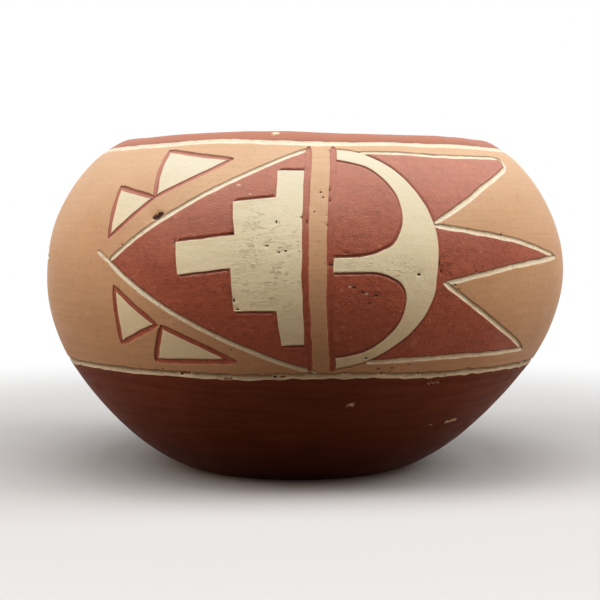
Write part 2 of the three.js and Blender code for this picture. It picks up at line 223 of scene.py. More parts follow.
@dataclass
class Section:
    """The line that the bowl is turned to, from the foot up the outside and down the inside.

    Attributes:
        height: The bowl's height.
        belly_radius: Its largest radius.
        foot_radius: The flat foot's radius.
        turn: Handle of the curve from the foot to the waist.
        waist: Where the lower body meets the band.
        waist_handle: Upright handle of the curve above the waist.
        belly_height: Where the bowl is widest.
        belly_handle: Upright handle of the shoulder at the belly.
        lip_handle: Handle of the shoulder at the lip.
        lip_lean: Angle on the lip's round at which the shoulder meets it, in degrees.
        mouth_radius: The mouth's inner radius.
        wall: The wall's thickness.
        floor_thickness: The floor's thickness.
        floor_flat: Radius of the flat middle of the floor.
        samples: How many spans each curve is sampled with.
    """

    height: float
    belly_radius: float
    foot_radius: float = 39.6
    turn: Place = (63.4, 7.1)
    waist: Place = (86.0, 40.6)
    waist_handle: float = 16.0
    belly_height: float = 73.0
    belly_handle: float = 22.0
    lip_handle: float = 15.4
    lip_lean: float = 60.0
    mouth_radius: float = 63.6
    wall: float = 6.5
    floor_thickness: float = 8.0
    floor_flat: float = 22.0
    samples: int = 80

    def __post_init__(self) -> None:
        """Sample the line and measure its run."""
        outside, lip_out = self.outside(), self.lip(self.lip_lean, 90.0)
        lip_in, inside = self.lip(90.0, self.lip_lean + 180.0), self.inside(outside)
        self.line = np.vstack([outside, lip_out[1:], lip_in[1:], inside[1:]])
        steps = np.linalg.norm(np.diff(self.line, axis=0), axis=1)
        self.runs = np.concatenate([[0.0], np.cumsum(steps)])
        along = np.gradient(self.line, self.runs, axis=0)
        self.outward = unit(np.column_stack([along[:, 1], -along[:, 0]]))
        self.crest = len(outside) + len(lip_out) - 2
        self.crest_run = float(self.runs[self.crest])

    def outside(self) -> np.ndarray:
        """Return the outside from the foot to the start of the lip's round."""
        lean = math.radians(self.lip_lean)
        lip_start = self.lip(self.lip_lean, 90.0)[0]
        into_lip = lip_start + self.lip_handle * np.array([math.sin(lean), -math.cos(lean)])
        belly = (self.belly_radius, self.belly_height)
        over_waist = (self.belly_radius, self.waist[1] + self.waist_handle)
        over_belly = (self.belly_radius, self.belly_height + self.belly_handle)
        low = bezier([(self.foot_radius, 0.0), self.turn, self.waist], self.samples)
        middle = bezier([self.waist, over_waist, belly], self.samples)
        high = bezier([belly, over_belly, into_lip, lip_start], self.samples)
        return np.vstack([low, middle[1:], high[1:]])

    def lip(self, start: float, end: float) -> np.ndarray:
        """Return the lip's round between two angles in degrees."""
        turn = np.radians(np.linspace(start, end, self.samples // 4 + 1))
        half = self.wall / 2.0
        centre = np.array([self.mouth_radius + half, self.height - half])
        return centre + half * np.column_stack([np.cos(turn), np.sin(turn)])

    def inside(self, outside: np.ndarray) -> np.ndarray:
        """Return the inside from the lip down to the middle of the floor."""
        along = np.gradient(outside, axis=0)
        inward = unit(np.column_stack([-along[:, 1], along[:, 0]]))
        wall_line = (outside + self.wall * inward)[::-1]
        base_joint = node_top("moulded_base")
        wall_line = wall_line[wall_line[:, 1] > base_joint]
        last, before = wall_line[-1], wall_line[-2]
        slope = (last[0] - before[0]) / (last[1] - before[1])
        heel = (last[0] - slope * (last[1] - self.floor_thickness), self.floor_thickness)
        dish = bezier([last, heel, (self.floor_flat, self.floor_thickness)], self.samples)
        floor = bezier([(self.floor_flat, self.floor_thickness), (0.0, self.floor_thickness)],
                       self.samples // 4)
        return np.vstack([wall_line, dish[1:], floor[1:]])

    def at(self, run: np.ndarray) -> tuple[np.ndarray, np.ndarray, np.ndarray, np.ndarray]:
        """Return radius, height and the outward direction's two parts at runs along the line."""
        radius, height = (np.interp(run, self.runs, self.line[:, axis]) for axis in (0, 1))
        out, up = (np.interp(run, self.runs, self.outward[:, axis]) for axis in (0, 1))
        return radius, height, out, up

    def outside_run(self, height: float | np.ndarray) -> float | np.ndarray:
        """Return the run at which the outside reaches a height."""
        return np.interp(height, self.line[:self.crest + 1, 1], self.runs[:self.crest + 1])

    def inside_run(self, height: float) -> float:
        """Return the run at which the inside comes down to a height."""
        fall = self.line[self.crest:, 1]
        return float(np.interp(-height, -fall, self.runs[self.crest:]))


@dataclass
class Surface:
    """The bowl's skin: the section turned, with a lean and a slow unevenness from the hand.

    Attributes:
        section: The line that it is turned to.
        lean: How far it shifts to the right for each millimetre of height.
        lean_height: The height that stays in place.
        slow: Height of the slow unevenness.
        quick: Height of the quicker unevenness.
        calm_height: Height below which the unevenness dies away, so that the foot is flat.
        swellings: Where the wall is fuller or flatter.
        lip_height: Heights between which the lip's own lift comes in.
        lip_lift: Degrees round the bowl, and how far the lip rises there.
    """

    section: Section
    lean: float = 0.0254
    lean_height: float = 73.0
    slow: float = 0.22
    quick: float = 0.05
    calm_height: float = 8.0
    swellings: tuple[Swelling, ...] = (
        Swelling((95.0, 68.0), (27.0, 28.0), 2.5),
        Swelling((-92.0, 76.0), (26.0, 28.0), -0.9),
    )
    lip_height: Place = (112.0, 118.0)
    lip_lift: tuple[Place, ...] = (
        (-180.0, 0.0), (-70.0, -0.3), (-50.0, 0.0), (-30.0, 0.5), (-18.0, 0.6), (-6.0, 0.1), (2.0, -0.2),
        (24.0, -0.35), (60.0, -0.4), (180.0, 0.0))
    slow_waves: Waves = field(default_factory=lambda: Waves(seed=11, length=46.0))
    quick_waves: Waves = field(default_factory=lambda: Waves(seed=12, length=13.0))

    def points(self, across: np.ndarray, run: np.ndarray, depth: np.ndarray | float = 0.0) -> np.ndarray:
        """Return points in space, in millimetres.

        Args:
            across: Lengths round the belly from the front.
            run: Runs along the section.
            depth: How far the points lie under the skin.

        Returns:
            An array of points, one row each.
        """
        radius, height, out, up = self.section.at(run)
        turn = across / self.section.belly_radius
        sine, cosine = np.sin(turn), -np.cos(turn)
        nominal = np.column_stack([radius * sine, radius * cosine, height])
        degrees = np.degrees(turn)
        uneven = self.slow * self.slow_waves.at(nominal) + self.quick * self.quick_waves.at(nominal)
        uneven += sum(swelling.over(degrees, height) for swelling in self.swellings) * np.sign(out)
        rise = uneven * smooth_step(height / self.calm_height) - depth
        points = nominal + rise[:, None] * np.column_stack([out * sine, out * cosine, up])
        points[:, 0] += self.lean * (points[:, 2] - self.lean_height)
        low, high = self.lip_height
        wrapped = (degrees + 180.0) % 360.0 - 180.0
        points[:, 2] += lift(self.lip_lift, wrapped) * smooth_step((height - low) / (high - low))
        return points

    def normals(self, across: np.ndarray, run: np.ndarray, step: float = 0.2) -> np.ndarray:
        """Return unit normals of the skin at places on it."""
        along_x = self.points(across + step, run) - self.points(across - step, run)
        along_y = self.points(across, run + step) - self.points(across, run - step)
        return unit(np.cross(along_x, along_y))

    def narrowing(self, run: np.ndarray) -> np.ndarray:
        """Return the true length of a drawn length of one, at runs up the outside."""
        return self.section.at(run)[0] / self.section.belly_radius

    def drawn(self, places: np.ndarray) -> np.ndarray:
        """Turn places in degrees and heights into drawn lengths round the belly and runs."""
        across = np.radians(places[:, 0]) * self.section.belly_radius
        return np.column_stack([across, self.section.outside_run(places[:, 1])])


def resampled(surface: Surface, path: np.ndarray, step: float) -> np.ndarray:
    """Space a drawn path's places evenly, in true lengths on the wall.

    Args:
        surface: The skin that it is drawn on.
        path: Drawn places.
        step: About how far apart the new places lie.

    Returns:
        The path, with its own ends.
    """
    middle = (path[1:, 1] + path[:-1, 1]) / 2.0
    spans = np.diff(path, axis=0) * np.column_stack([surface.narrowing(middle), np.ones(len(middle))])
    run = np.concatenate([[0.0], np.cumsum(np.linalg.norm(spans, axis=1))])
    count = max(1, round(run[-1] / step))
    wanted = np.linspace(0.0, run[-1], count + 1)
    return np.column_stack([np.interp(wanted, run, path[:, axis]) for axis in (0, 1)])


def sideways(surface: Surface, path: np.ndarray, ring: bool = False) -> tuple[np.ndarray, np.ndarray]:
    """Find the directions along a drawn path and to the left of it, one true millimetre long.

    Args:
        surface: The skin that it is drawn on.
        path: Drawn places.
        ring: True where the path runs level round the bowl, so that its ends match.

    Returns:
        The directions along the path and to its left, in drawn lengths.
    """
    narrow = surface.narrowing(path[:, 1])
    along = np.gradient(path, axis=0)
    if ring:
        along[0] = along[-1] = along[0] + along[-1]
    along[:, 0] *= narrow
    along = unit(along)
    left = np.column_stack([-along[:, 1] / narrow, along[:, 0]])
    along[:, 0] /= narrow
    return along, left


def nearest(places: np.ndarray, path: np.ndarray, narrow: np.ndarray) -> tuple[np.ndarray, np.ndarray]:
    """Measure true distances from drawn places to a drawn path.

    Args:
        places: The places to measure from.
        path: The path to measure to.
        narrow: The true length of a drawn length of one, at each place.

    Returns:
        The distances, and the position of each nearest point as a fractional index on the path.
    """
    best = np.full(len(places), np.inf)
    where = np.zeros(len(places))
    true_lengths = np.column_stack([narrow, np.ones(len(places))])
    for index, (start, end) in enumerate(zip(path, path[1:])):
        span = (end - start)[None, :] * true_lengths
        reach = (places - start) * true_lengths
        share = np.clip((reach * span).sum(axis=1) / np.maximum((span * span).sum(axis=1), TINY), 0.0, 1.0)
        distance = np.linalg.norm(reach - span * share[:, None], axis=1)
        closer = distance < best
        best[closer] = distance[closer]
        where[closer] = index + share[closer]
    return best, where


def lies_inside(places: np.ndarray, outline: np.ndarray) -> np.ndarray:
    """Tell which drawn places a closed outline winds round."""
    winding = np.zeros(len(places), int)
    low, high = outline.min(axis=0), outline.max(axis=0)
    near = np.flatnonzero(((places >= low) & (places <= high)).all(axis=1))
    tested = places[near]
    for start, end in zip(outline, np.roll(outline, -1, axis=0)):
        along, up = end - start
        side = along * (tested[:, 1] - start[1]) - (tested[:, 0] - start[0]) * up
        rises = (start[1] <= tested[:, 1]) & (end[1] > tested[:, 1]) & (side > 0.0)
        falls = (start[1] > tested[:, 1]) & (end[1] <= tested[:, 1]) & (side < 0.0)
        winding[near] += rises.astype(int) - falls.astype(int)
    return winding != 0


class Layer(Enum):
    """What a stretch of the band is, from the lowest claim on a face to the highest."""

    RED_FIELD = 1
    CREAM_FIELD = 2
    SUN_FIELD = 3
    CLOUD = 4
    WHITE_LINE = 5
    RED_LINE = 6
    RING = 7


@dataclass
class Stroke:
    """A line cut with a pointed tool and run full of slip.

    Attributes:
        piece: The piece that the line belongs to.
        layer: Its claim on a face.
        path: Drawn places along its middle.
        width: Its usual width.
        depth: How deep it is cut.
        seed: Chooses how it wavers.
        ring: True where it runs level all the way round.
        bevel: Width of its sloping sides.
        tilt: How much deeper its upper side lies than its middle.
        waver: How far its middle wanders.
        waver_length: The usual length of that waver.
        swell: The share by which its width varies.
        swell_length: The usual length of a wide stretch.
        point: Length over which it narrows to its ends.
        point_width: Its width at its ends, as a share of its usual width.
        thinnest: Half its width at the least, when its outline is drawn in.
        end_angles: Where the points round an end lie, in degrees from its left side to its right.
        dirt_and_shade: Width over which its edge of grime and painted shade fades, or 0 for clean edges.
    """

    piece: str
    layer: Layer
    path: np.ndarray
    width: float
    depth: float
    seed: int
    ring: bool = False
    bevel: float = 0.42
    tilt: float = 0.1
    waver: float = 0.07
    waver_length: float = 11.0
    swell: float = 0.08
    swell_length: float = 5.0
    point: float = 2.2
    point_width: float = 0.6
    thinnest: float = 0.05
    end_angles: tuple[float, ...] = (35.0, 70.0, 110.0, 145.0)
    dirt_and_shade: float = 0.5

    def settle(self, surface: Surface, step: float) -> None:
        """Space the path evenly and give it the hand's waver."""
        path = resampled(surface, self.path, step)
        nominal = surface.points(path[:, 0], path[:, 1])
        left = sideways(surface, path, self.ring)[1]
        shift = self.waver * Waves(self.seed, self.waver_length).at(nominal)
        self.path = path + left * shift[:, None]
        swelling = self.swell * Waves(self.seed + 1, self.swell_length).at(nominal)
        self.half = self.width / 2.0 * (1.0 + swelling)
        if not self.ring:
            ends = np.minimum(np.arange(len(path)), np.arange(len(path))[::-1]) * step
            wide = smooth_step(ends / self.point)
            self.half = self.half * (self.point_width + (1.0 - self.point_width) * wide)

    def outline(self, surface: Surface, growth: float) -> np.ndarray:
        """Return the drawn outline of the line, grown by a true distance on every side."""
        along, left = sideways(surface, self.path, self.ring)
        half = np.maximum(self.half + growth, self.thinnest)[:, None]
        if self.ring:
            level = np.array([0.0, 1.0])
            return np.vstack([self.path + level * half, (self.path - level * half)[::-1]])
        turns = np.radians(self.end_angles)[:, None]
        end, start = (self.path[at] + way * half[at] * (np.cos(turns) * left[at] + np.sin(turns) * along[at])
                      for at, way in ((-1, 1.0), (0, -1.0)))
        return np.vstack([self.path + left * half, end, (self.path - left * half)[::-1], start])


@dataclass
class Field:
    """An outline filled with slip.

    Attributes:
        piece: The piece that the fill belongs to.
        layer: Its claim on a face.
        sides: Drawn paths that follow each other round it.
        cut: 1 where a thin cut runs outside the outline, -1 inside.
        cut_sides: How many of the first sides have the cut. Lines bound the others.
        cut_width: The cut's width.
        cut_depth: The cut's depth.
        sunk: How far the fill lies under the coat.
        seed: Chooses how the outline wavers.
        waver: How far it wanders.
        waver_length: The usual length of that waver.
        same_place: How near two corners are that count as one.
    """

    piece: str
    layer: Layer
    sides: list[np.ndarray]
    cut: int
    cut_sides: int
    seed: int
    cut_width: float = 1.0
    cut_depth: float = 0.3
    sunk: float = 0.0
    waver: float = 0.1
    waver_length: float = 7.0
    same_place: float = 1e-6

    def settle(self, surface: Surface, step: float) -> None:
        """Space each side evenly and give it the hand's waver, with the corners kept."""
        settled = []
        for index, side in enumerate(self.sides):
            path = resampled(surface, side, step)
            left = sideways(surface, path)[1]
            nominal = surface.points(path[:, 0], path[:, 1])
            held = np.sin(np.linspace(0.0, math.pi, len(path)))
            shift = self.waver * held * Waves(self.seed + index, self.waver_length).at(nominal)
            settled.append(path + left * shift[:, None])
        self.sides = settled
        outline = np.vstack(settled)
        apart = np.linalg.norm(outline - np.roll(outline, 1, axis=0), axis=1) > self.same_place
        self.outline = outline[apart]
        turned = np.roll(self.outline, -1, axis=0)
        area = (self.outline[:, 0] * turned[:, 1] - turned[:, 0] * self.outline[:, 1]).sum()
        self.outward = -math.copysign(1.0, area)

    def rows(self, surface: Surface, distance: float) -> list[np.ndarray]:
        """Return each cut side moved off the outline by a true distance, to where its cut is."""
        moved = []
        for side in self.sides[:self.cut_sides]:
            left = sideways(surface, side)[1]
            moved.append(side + left * self.outward * self.cut * distance)
        return moved


@dataclass(frozen=True)
class Spot:
    """A pit or a nick in the surface.

    Attributes:
        at: Degrees round the bowl and height.
        half: Half its width and half its height.
        depth: How deep it goes.
        dark: How dark it is inside, from 0 to 1.
        pale: How much pale clay shows in it, from 0 to 1.
        crazed: How crazed the slip is in it, from 0 to 1.
    """

    at: Place
    half: tuple[float, float]
    depth: float
    dark: float = 1.0
    pale: float = 0.0
    crazed: float = 0.0


@dataclass
class PanelDrawing:
    """The figures of one panel, as the front one has them, in degrees and heights.

    Attributes:
        bar_middle: The middle of the tan bar, about which a panel is narrowed.
        white_width: Width of the white lines.
        red_width: Width of the red lines round the wedges.
        bar_width: Width of the red lines beside the bar.
        line_depth: Depth of them all.
        sunk: How far the cloud and the wedges lie under the coat.
        dirt_and_shade: How far grime and painted shade reach into the white lines, and into the one that the
            triangle stands on.
        seeds: What each field adds to its panel's seed, so that no two waver alike.
    """

    bar_middle: float = 3.6
    white_width: float = 1.7
    red_width: float = 1.75
    bar_width: float = 2.2
    line_depth: float = 0.3
    sunk: float = 0.1
    dirt_and_shade: Span = (0.5, 1.1)
    bar_left: tuple[Place, ...] = ((0.9, 114.6), (-0.5, 79.0), (2.1, 43.8))
    bar_right: tuple[Place, ...] = ((6.9, 114.6), (3.5, 79.0), (6.9, 43.6))
    triangle_apex: Place = (-41.9, 77.7)
    triangle_start: Place = (-45.6, 80.9)
    triangle_top: tuple[Place, ...] = ((-20.5, 103.4), (1.0, 114.2))
    triangle_foot: tuple[Place, ...] = ((-16.0, 50.0), (3.2, 42.9))
    cloud: tuple[Place, ...] = (
        (0.4, 107.1), (0.1, 80.0), (1.3, 52.1), (-3.7, 51.7), (-4.7, 62.8), (-13.0, 62.6),
        (-13.7, 76.2), (-24.4, 73.9), (-25.3, 84.1), (-13.3, 86.4), (-14.5, 96.9), (-5.7, 98.5),
        (-6.0, 107.0))
    crescent: tuple[Place, ...] = (
        (6.4, 113.8), (10.5, 113.4), (14.9, 111.5), (20.4, 106.6), (24.9, 97.6), (26.9, 87.6),
        (27.0, 78.0), (25.9, 65.1), (21.6, 54.5), (14.0, 47.0), (6.5, 44.0))
    upper_sun: tuple[Place, ...] = (
        (5.4, 79.2), (11.5, 79.7), (15.1, 81.3), (17.9, 83.9), (19.9, 90.8), (19.3, 99.6),
        (15.2, 107.0), (10.6, 109.6), (6.2, 110.8))
    lower_sun: tuple[Place, ...] = (
        (6.2, 47.4), (10.0, 48.4), (14.2, 50.6), (19.0, 57.5), (20.4, 65.5), (19.2, 71.4),
        (14.9, 74.6), (10.0, 74.9), (5.4, 74.9))
    feather_top: tuple[Place, ...] = ((13.2, 112.9), (39.0, 112.2), (58.6, 112.5))
    feather_tip: tuple[Place, ...] = ((58.6, 112.5), (60.9, 111.9), (60.6, 110.7), (58.3, 109.1))
    feather_upper: tuple[Place, ...] = ((58.3, 109.1), (43.2, 101.9), (27.2, 90.4))
    feather_above: tuple[Place, ...] = ((27.0, 89.2), (48.0, 84.5), (67.6, 78.2))
    feather_below: tuple[Place, ...] = ((67.6, 78.2), (48.0, 75.9), (28.6, 71.0))
    feather_lower: tuple[Place, ...] = ((28.6, 71.0), (43.0, 57.6), (59.3, 46.7))
    feather_foot: tuple[Place, ...] = ((59.3, 46.7), (39.4, 46.9), (14.0, 46.2))
    wedges: dict[str, tuple[Place, Place, Place]] = field(default_factory=lambda: {
        "upper_inner_wedge": ((-32.9, 98.3), (-36.3, 114.1), (-17.1, 110.9)),
        "upper_outer_wedge": ((-42.8, 85.4), (-44.6, 102.0), (-32.9, 98.3)),
        "lower_inner_wedge": ((-28.6, 57.3), (-31.7, 45.7), (-13.3, 46.2)),
        "lower_outer_wedge": ((-40.2, 69.5), (-40.1, 50.8), (-29.7, 57.5)),
    })
    seeds: dict[str, int] = field(default_factory=lambda: {
        "triangle_field": 500, "feather_field": 510, "stepped_cloud": 520, "crescent": 540,
        "upper_sun_field": 550, "lower_sun_field": 560, "upper_inner_wedge": 600,
        "upper_outer_wedge": 610, "lower_inner_wedge": 620, "lower_outer_wedge": 630})


@dataclass
class Panel:
    """One panel of the band in its place: the front drawing, narrowed about its bar.

    Attributes:
        side: The word that its pieces' names start with.
        middle: Where the middle of its bar lies, in degrees.
        width: Its share of the front panel's width.
        seed: Chooses how its lines waver.
        seed_step: How far apart the seeds of its lines lie.
        drawing: The figures.
        spans: How many spans its curves are sampled with.
    """

    side: str
    middle: float
    width: float
    seed: int
    seed_step: int = 10
    drawing: PanelDrawing = field(default_factory=PanelDrawing)
    spans: int = 24

    def placed(self, places: Sequence[Place] | np.ndarray) -> np.ndarray:
        """Move places of the front drawing to this panel."""
        moved = np.asarray(places, float).copy()
        moved[:, 0] = self.middle + (moved[:, 0] - self.drawing.bar_middle) * self.width
        return moved

    def curve(self, surface: Surface, knots: Sequence[Place], through: bool = False) -> np.ndarray:
        """Draw a curve: a Bezier curve of its knots, or one that passes through them all."""
        line = smooth_through(knots) if through else bezier(knots, self.spans)
        return surface.drawn(self.placed(line))

    def straights(self, surface: Surface, corners: Sequence[Place]) -> list[np.ndarray]:
        """Draw the straight sides of a figure, from corner to corner and back to the first."""
        return [self.curve(surface, [start, end]) for start, end in zip(corners, (*corners[1:], corners[0]))]

    def strokes(self, surface: Surface) -> list[Stroke]:
        """Return the panel's cut lines."""
        drawing = self.drawing
        white = [
            ("triangle_line", [drawing.triangle_apex, *drawing.triangle_top]),
            ("triangle_line", [drawing.triangle_apex, *drawing.triangle_foot]),
            ("triangle_line", [drawing.triangle_start, drawing.triangle_apex]),
            ("feather_line", drawing.feather_tip),
        ]
        bowed = [drawing.feather_top, drawing.feather_upper, drawing.feather_above,
                 drawing.feather_below, drawing.feather_lower, drawing.feather_foot]
        made = [(name, self.curve(surface, knots), Layer.WHITE_LINE) for name, knots in white]
        made += [("feather_line", self.curve(surface, knots, True), Layer.WHITE_LINE) for knots in bowed]
        made += [("bar_left_line", self.curve(surface, drawing.bar_left), Layer.RED_LINE),
                 ("bar_right_line", self.curve(surface, drawing.bar_right), Layer.RED_LINE)]
        for name, corners in drawing.wedges.items():
            line = name.split("_", maxsplit=1)[0] + "_wedge_line"
            made += [(line, side, Layer.RED_LINE) for side in self.straights(surface, corners)]
        widths = {"triangle": drawing.white_width, "feather": drawing.white_width, "bar": drawing.bar_width,
                  "upper": drawing.red_width, "lower": drawing.red_width}
        strokes = [
            Stroke(f"{self.side}_{name}", layer, path, widths[name.split("_", maxsplit=1)[0]],
                   drawing.line_depth, self.seed + self.seed_step * index, dirt_and_shade=drawing.dirt_and_shade[0])
            for index, (name, path, layer) in enumerate(made)
        ]
        strokes[1].dirt_and_shade = drawing.dirt_and_shade[1]
        return strokes

    def filled(self, name: str, layer: Layer, sides: list[np.ndarray], cut: int, cut_sides: int,
               sunk: float = 0.0) -> Field:
        """Make one filled figure.

        Args:
            name: Its piece's name, without the panel's word.
            layer: Its claim on a face.
            sides: Drawn paths that follow each other round it.
            cut: 1 where a thin cut runs outside the outline, -1 inside.
            cut_sides: How many of the first sides have the cut.
            sunk: How far the fill lies under the coat.

        Returns:
            The figure.
        """
        seed = self.seed + self.drawing.seeds[name]
        return Field(f"{self.side}_{name}", layer, sides, cut, cut_sides, seed, sunk=sunk)

    def fields(self, surface: Surface) -> list[Field]:
        """Return the panel's filled figures."""
        drawing = self.drawing
        cloud = self.straights(surface, drawing.cloud)
        triangle = [
            self.curve(surface, [drawing.triangle_apex, *drawing.triangle_foot]),
            self.curve(surface, drawing.bar_left)[::-1],
            self.curve(surface, [drawing.triangle_apex, *drawing.triangle_top])[::-1],
        ]
        feather = [self.curve(surface, knots, knots is not drawing.feather_tip) for knots in (
            drawing.feather_top, drawing.feather_tip, drawing.feather_upper, drawing.feather_above,
            drawing.feather_below, drawing.feather_lower, drawing.feather_foot)]
        feather.append(np.vstack([feather[-1][-1:], feather[0][:1]]))
        made = [
            self.filled("triangle_field", Layer.RED_FIELD, triangle, 1, 0),
            self.filled("feather_field", Layer.RED_FIELD, feather, 1, 0),
            self.filled("stepped_cloud", Layer.CLOUD, cloud, 1, len(cloud), drawing.sunk),
        ]
        crescent = self.curve(surface, drawing.crescent, True)
        back = self.curve(surface, drawing.bar_right)[::-1]
        made.append(self.filled("crescent", Layer.CREAM_FIELD, [crescent, back], 1, 1))
        for name, knots in (("upper_sun_field", drawing.upper_sun), ("lower_sun_field", drawing.lower_sun)):
            side = self.curve(surface, knots, True)
            made.append(self.filled(name, Layer.SUN_FIELD, [side, side[[-1, 0]]], -1, 1))
        for name, corners in drawing.wedges.items():
            sides = self.straights(surface, corners)
            made.append(self.filled(name, Layer.CREAM_FIELD, sides, 1, 0, drawing.sunk))
        return made


class Lines:
    """Places gathered for the net of triangles, and the ties that it has to keep."""

    def __init__(self) -> None:
        """Start with none."""
        self.places: list[np.ndarray] = []
        self.ties: list[np.ndarray] = []
        self.count = 0

    def add(self, path: np.ndarray, tied: bool = True, closed: bool = False) -> None:
        """Add a path's places.

        Args:
            path: The drawn places.
            tied: True if each place is tied to the next.
            closed: True if the last one is also tied to the first.
        """
        ids = np.arange(self.count, self.count + len(path))
        self.places.append(path)
        self.count += len(path)
        if tied:
            self.ties.append(np.column_stack([ids[:-1], ids[1:]]))
        if tied and closed:
            self.ties.append(ids[[-1, 0]][None, :])


class Marks(Enum):
    """What a point of a mesh tells its finish."""

    # The edge mark carries grime and painted shade in cuts and along lines.
    EDGE = "edge"
    DARK = "dark"
    PALE = "pale"
    CRAZED = "crazed"
    BARE = "bare"


@dataclass
class Sheet:
    """The outside from the base joint to the crest of the lip, as one net of triangles.

    Attributes:
        surface: The skin that it lies on.
        strokes: The cut lines.
        fields: The filled figures.
        spots: Pits and nicks.
        waist: Piece name of the ring between the lower body and the band.
        collar: Piece name of the ring between the band and the rim.
        seam: Where the drawing is cut open, in degrees.
        columns: How many spans its level edges have.
        step: About how far apart its free points lie.
        line_step: About how far apart the points of a line lie.
        halo: How far beside a line the skin is held.
        clear: How far the free points keep from a line's points.
        slope: Width of a thin cut's sides.
        lower_side_dirt_and_shade: How strong the grime and painted shade on the lower edge of a line are
            beside its upper edge.
        upper_side_dirt_and_shade_start: Where the upper edge's grime and painted shade start, as a share of
            half a line's width.
        upright_cut_depth_and_shade: How deep an upright cut is, and how much grime and painted shade it
            takes, beside a level one.
        dirt_and_shade_overlap: How far in a line's edge its grime and painted shade are strongest, and how
            far they lap past a thin cut.
        cut_dirt_and_shade: Width over which the grime and painted shade of a thin cut come in.
        sunk_slope: Width over which a sunk fill goes down.
        row_share: Height of a row of free points, as a share of the step.
        spot_points: How many points a ring round a spot has.
        spot_rings: Shares of a spot's size at which those rings lie.
        spot_edge: Where a spot starts, as a share of its size.
        spot_slope: Width of its slope, as a share of its size.
        margin: How far beyond a figure's own box its points are looked for.
        merge: How near points fall together.
        snap: How near the border a point counts as on it.
    """

    surface: Surface
    strokes: list[Stroke]
    fields: list[Field]
    spots: list[Spot]
    waist: str = "waist_white_line"
    collar: str = "collar_white_line"
    seam: float = -173.0
    columns: int = 240
    step: float = 2.5
    line_step: float = 1.3
    halo: float = 0.45
    clear: float = 0.9
    slope: float = 0.34
    lower_side_dirt_and_shade: float = 0.35
    upper_side_dirt_and_shade_start: float = 0.2
    upright_cut_depth_and_shade: float = 0.35
    dirt_and_shade_overlap: float = 0.1
    cut_dirt_and_shade: float = 0.25
    sunk_slope: float = 0.5
    row_share: float = 0.87
    spot_points: int = 8
    spot_rings: Triple = (0.0, 0.55, 1.0)
    spot_edge: float = 1.25
    spot_slope: float = 0.7
    margin: float = 3.5
    merge: float = 1e-3
    snap: float = 1e-2

    def __post_init__(self) -> None:
        """Draw every line, net them over with triangles and cut the lines in."""
        section = self.surface.section
        self.low_run = float(section.outside_run(node_top("moulded_base")))
        self.high_run = section.crest_run
        self.left = math.radians(self.seam) * section.belly_radius
        self.right = self.left + 2.0 * math.pi * section.belly_radius
        for item in (*self.strokes, *self.fields):
            item.settle(self.surface, self.line_step)
        self.net()
        self.weld()
        self.carve()
        self.claim()
        self.shade()

    def held_lines(self) -> Lines:
        """Return the lines and border that the net has to keep."""
        lines = Lines()
        rows = round((self.high_run - self.low_run) / self.step)
        upright = np.linspace(self.low_run, self.high_run, rows + 1)
        level = np.linspace(self.left, self.right, self.columns + 1)
        for run in (self.low_run, self.high_run):
            lines.add(np.column_stack([level, np.full(len(level), run)]))
        for across in (self.left, self.right):
            lines.add(np.column_stack([np.full(len(upright), across), upright]))
        for stroke in self.strokes:
            for growth in (0.0, -stroke.bevel):
                lines.add(stroke.outline(self.surface, growth), closed=True)
            lines.add(stroke.outline(self.surface, self.halo), tied=False)
        for item in self.fields:
            lines.add(item.outline, closed=True)
            width = item.cut_width
            for distance in (self.slope, width - self.slope, width):
                for row in item.rows(self.surface, distance):
                    lines.add(row[1:-1])
            for distance in (-self.halo, width + self.halo):
                for row in item.rows(self.surface, distance):
                    lines.add(row[1:-1], tied=False)
        for spot in self.spots:
            turn = np.linspace(0.0, 2.0 * math.pi, self.spot_points + 1)[:-1]
            middle = self.surface.drawn(np.array([spot.at]))
            for share in self.spot_rings:
                ring = share * np.column_stack([spot.half[0] * np.cos(turn), spot.half[1] * np.sin(turn)])
                lines.add(middle + (ring if share else ring[:1]), tied=False)
        return lines

    def free_places(self) -> np.ndarray:
        """Return staggered places over the whole sheet."""
        rows = []
        for index, run in enumerate(np.arange(self.low_run, self.high_run, self.row_share * self.step)):
            girth = (self.right - self.left) * float(self.surface.narrowing(np.array([run]))[0])
            count = round(girth / self.step)
            share = (np.arange(count) + 0.25 + 0.5 * (index % 2)) / count
            across = self.left + (self.right - self.left) * share
            rows.append(np.column_stack([across, np.full(count, run)]))
        return np.vstack(rows)

    def net(self) -> None:
        """Net the lines and the free places over with triangles."""
        lines = self.held_lines()
        held = np.vstack(lines.places)
        tree = KDTree(len(held))
        for index, place in enumerate(held):
            tree.insert((*place, 0.0), index)
        tree.balance()
        free = [place for place in self.free_places() if tree.find((*place, 0.0))[2] > self.clear]
        places = np.vstack([held, *free])
        ties = np.vstack(lines.ties).tolist()
        netted = delaunay_2d_cdt([Vector(place) for place in places], ties, [], 0, self.merge, False)
        self.places = np.array([place[:] for place in netted[0]])
        faces = np.array([list(face) for face in netted[2]])
        first, second, third = (self.places[faces[:, corner]] for corner in range(3))
        spans = np.stack([second - first, third - first], axis=1)
        turned = np.linalg.det(spans) < 0.0
        faces[turned] = faces[turned][:, ::-1]
        self.faces = faces

    def weld(self) -> None:
        """Pair the points of the two upright edges, so that the sheet closes round the bowl."""
        across = self.places[:, 0]
        columns = []
        for edge in (self.left, self.right):
            column = np.flatnonzero(np.abs(across - edge) < self.snap)
            columns.append(column[np.argsort(self.places[column, 1])])
        left, right = columns
        if len(left) != len(right):
            raise ValueError(f"the seam has {len(left)} points on its left and {len(right)} on its right")
        self.same = np.arange(len(self.places))
        self.same[right] = left

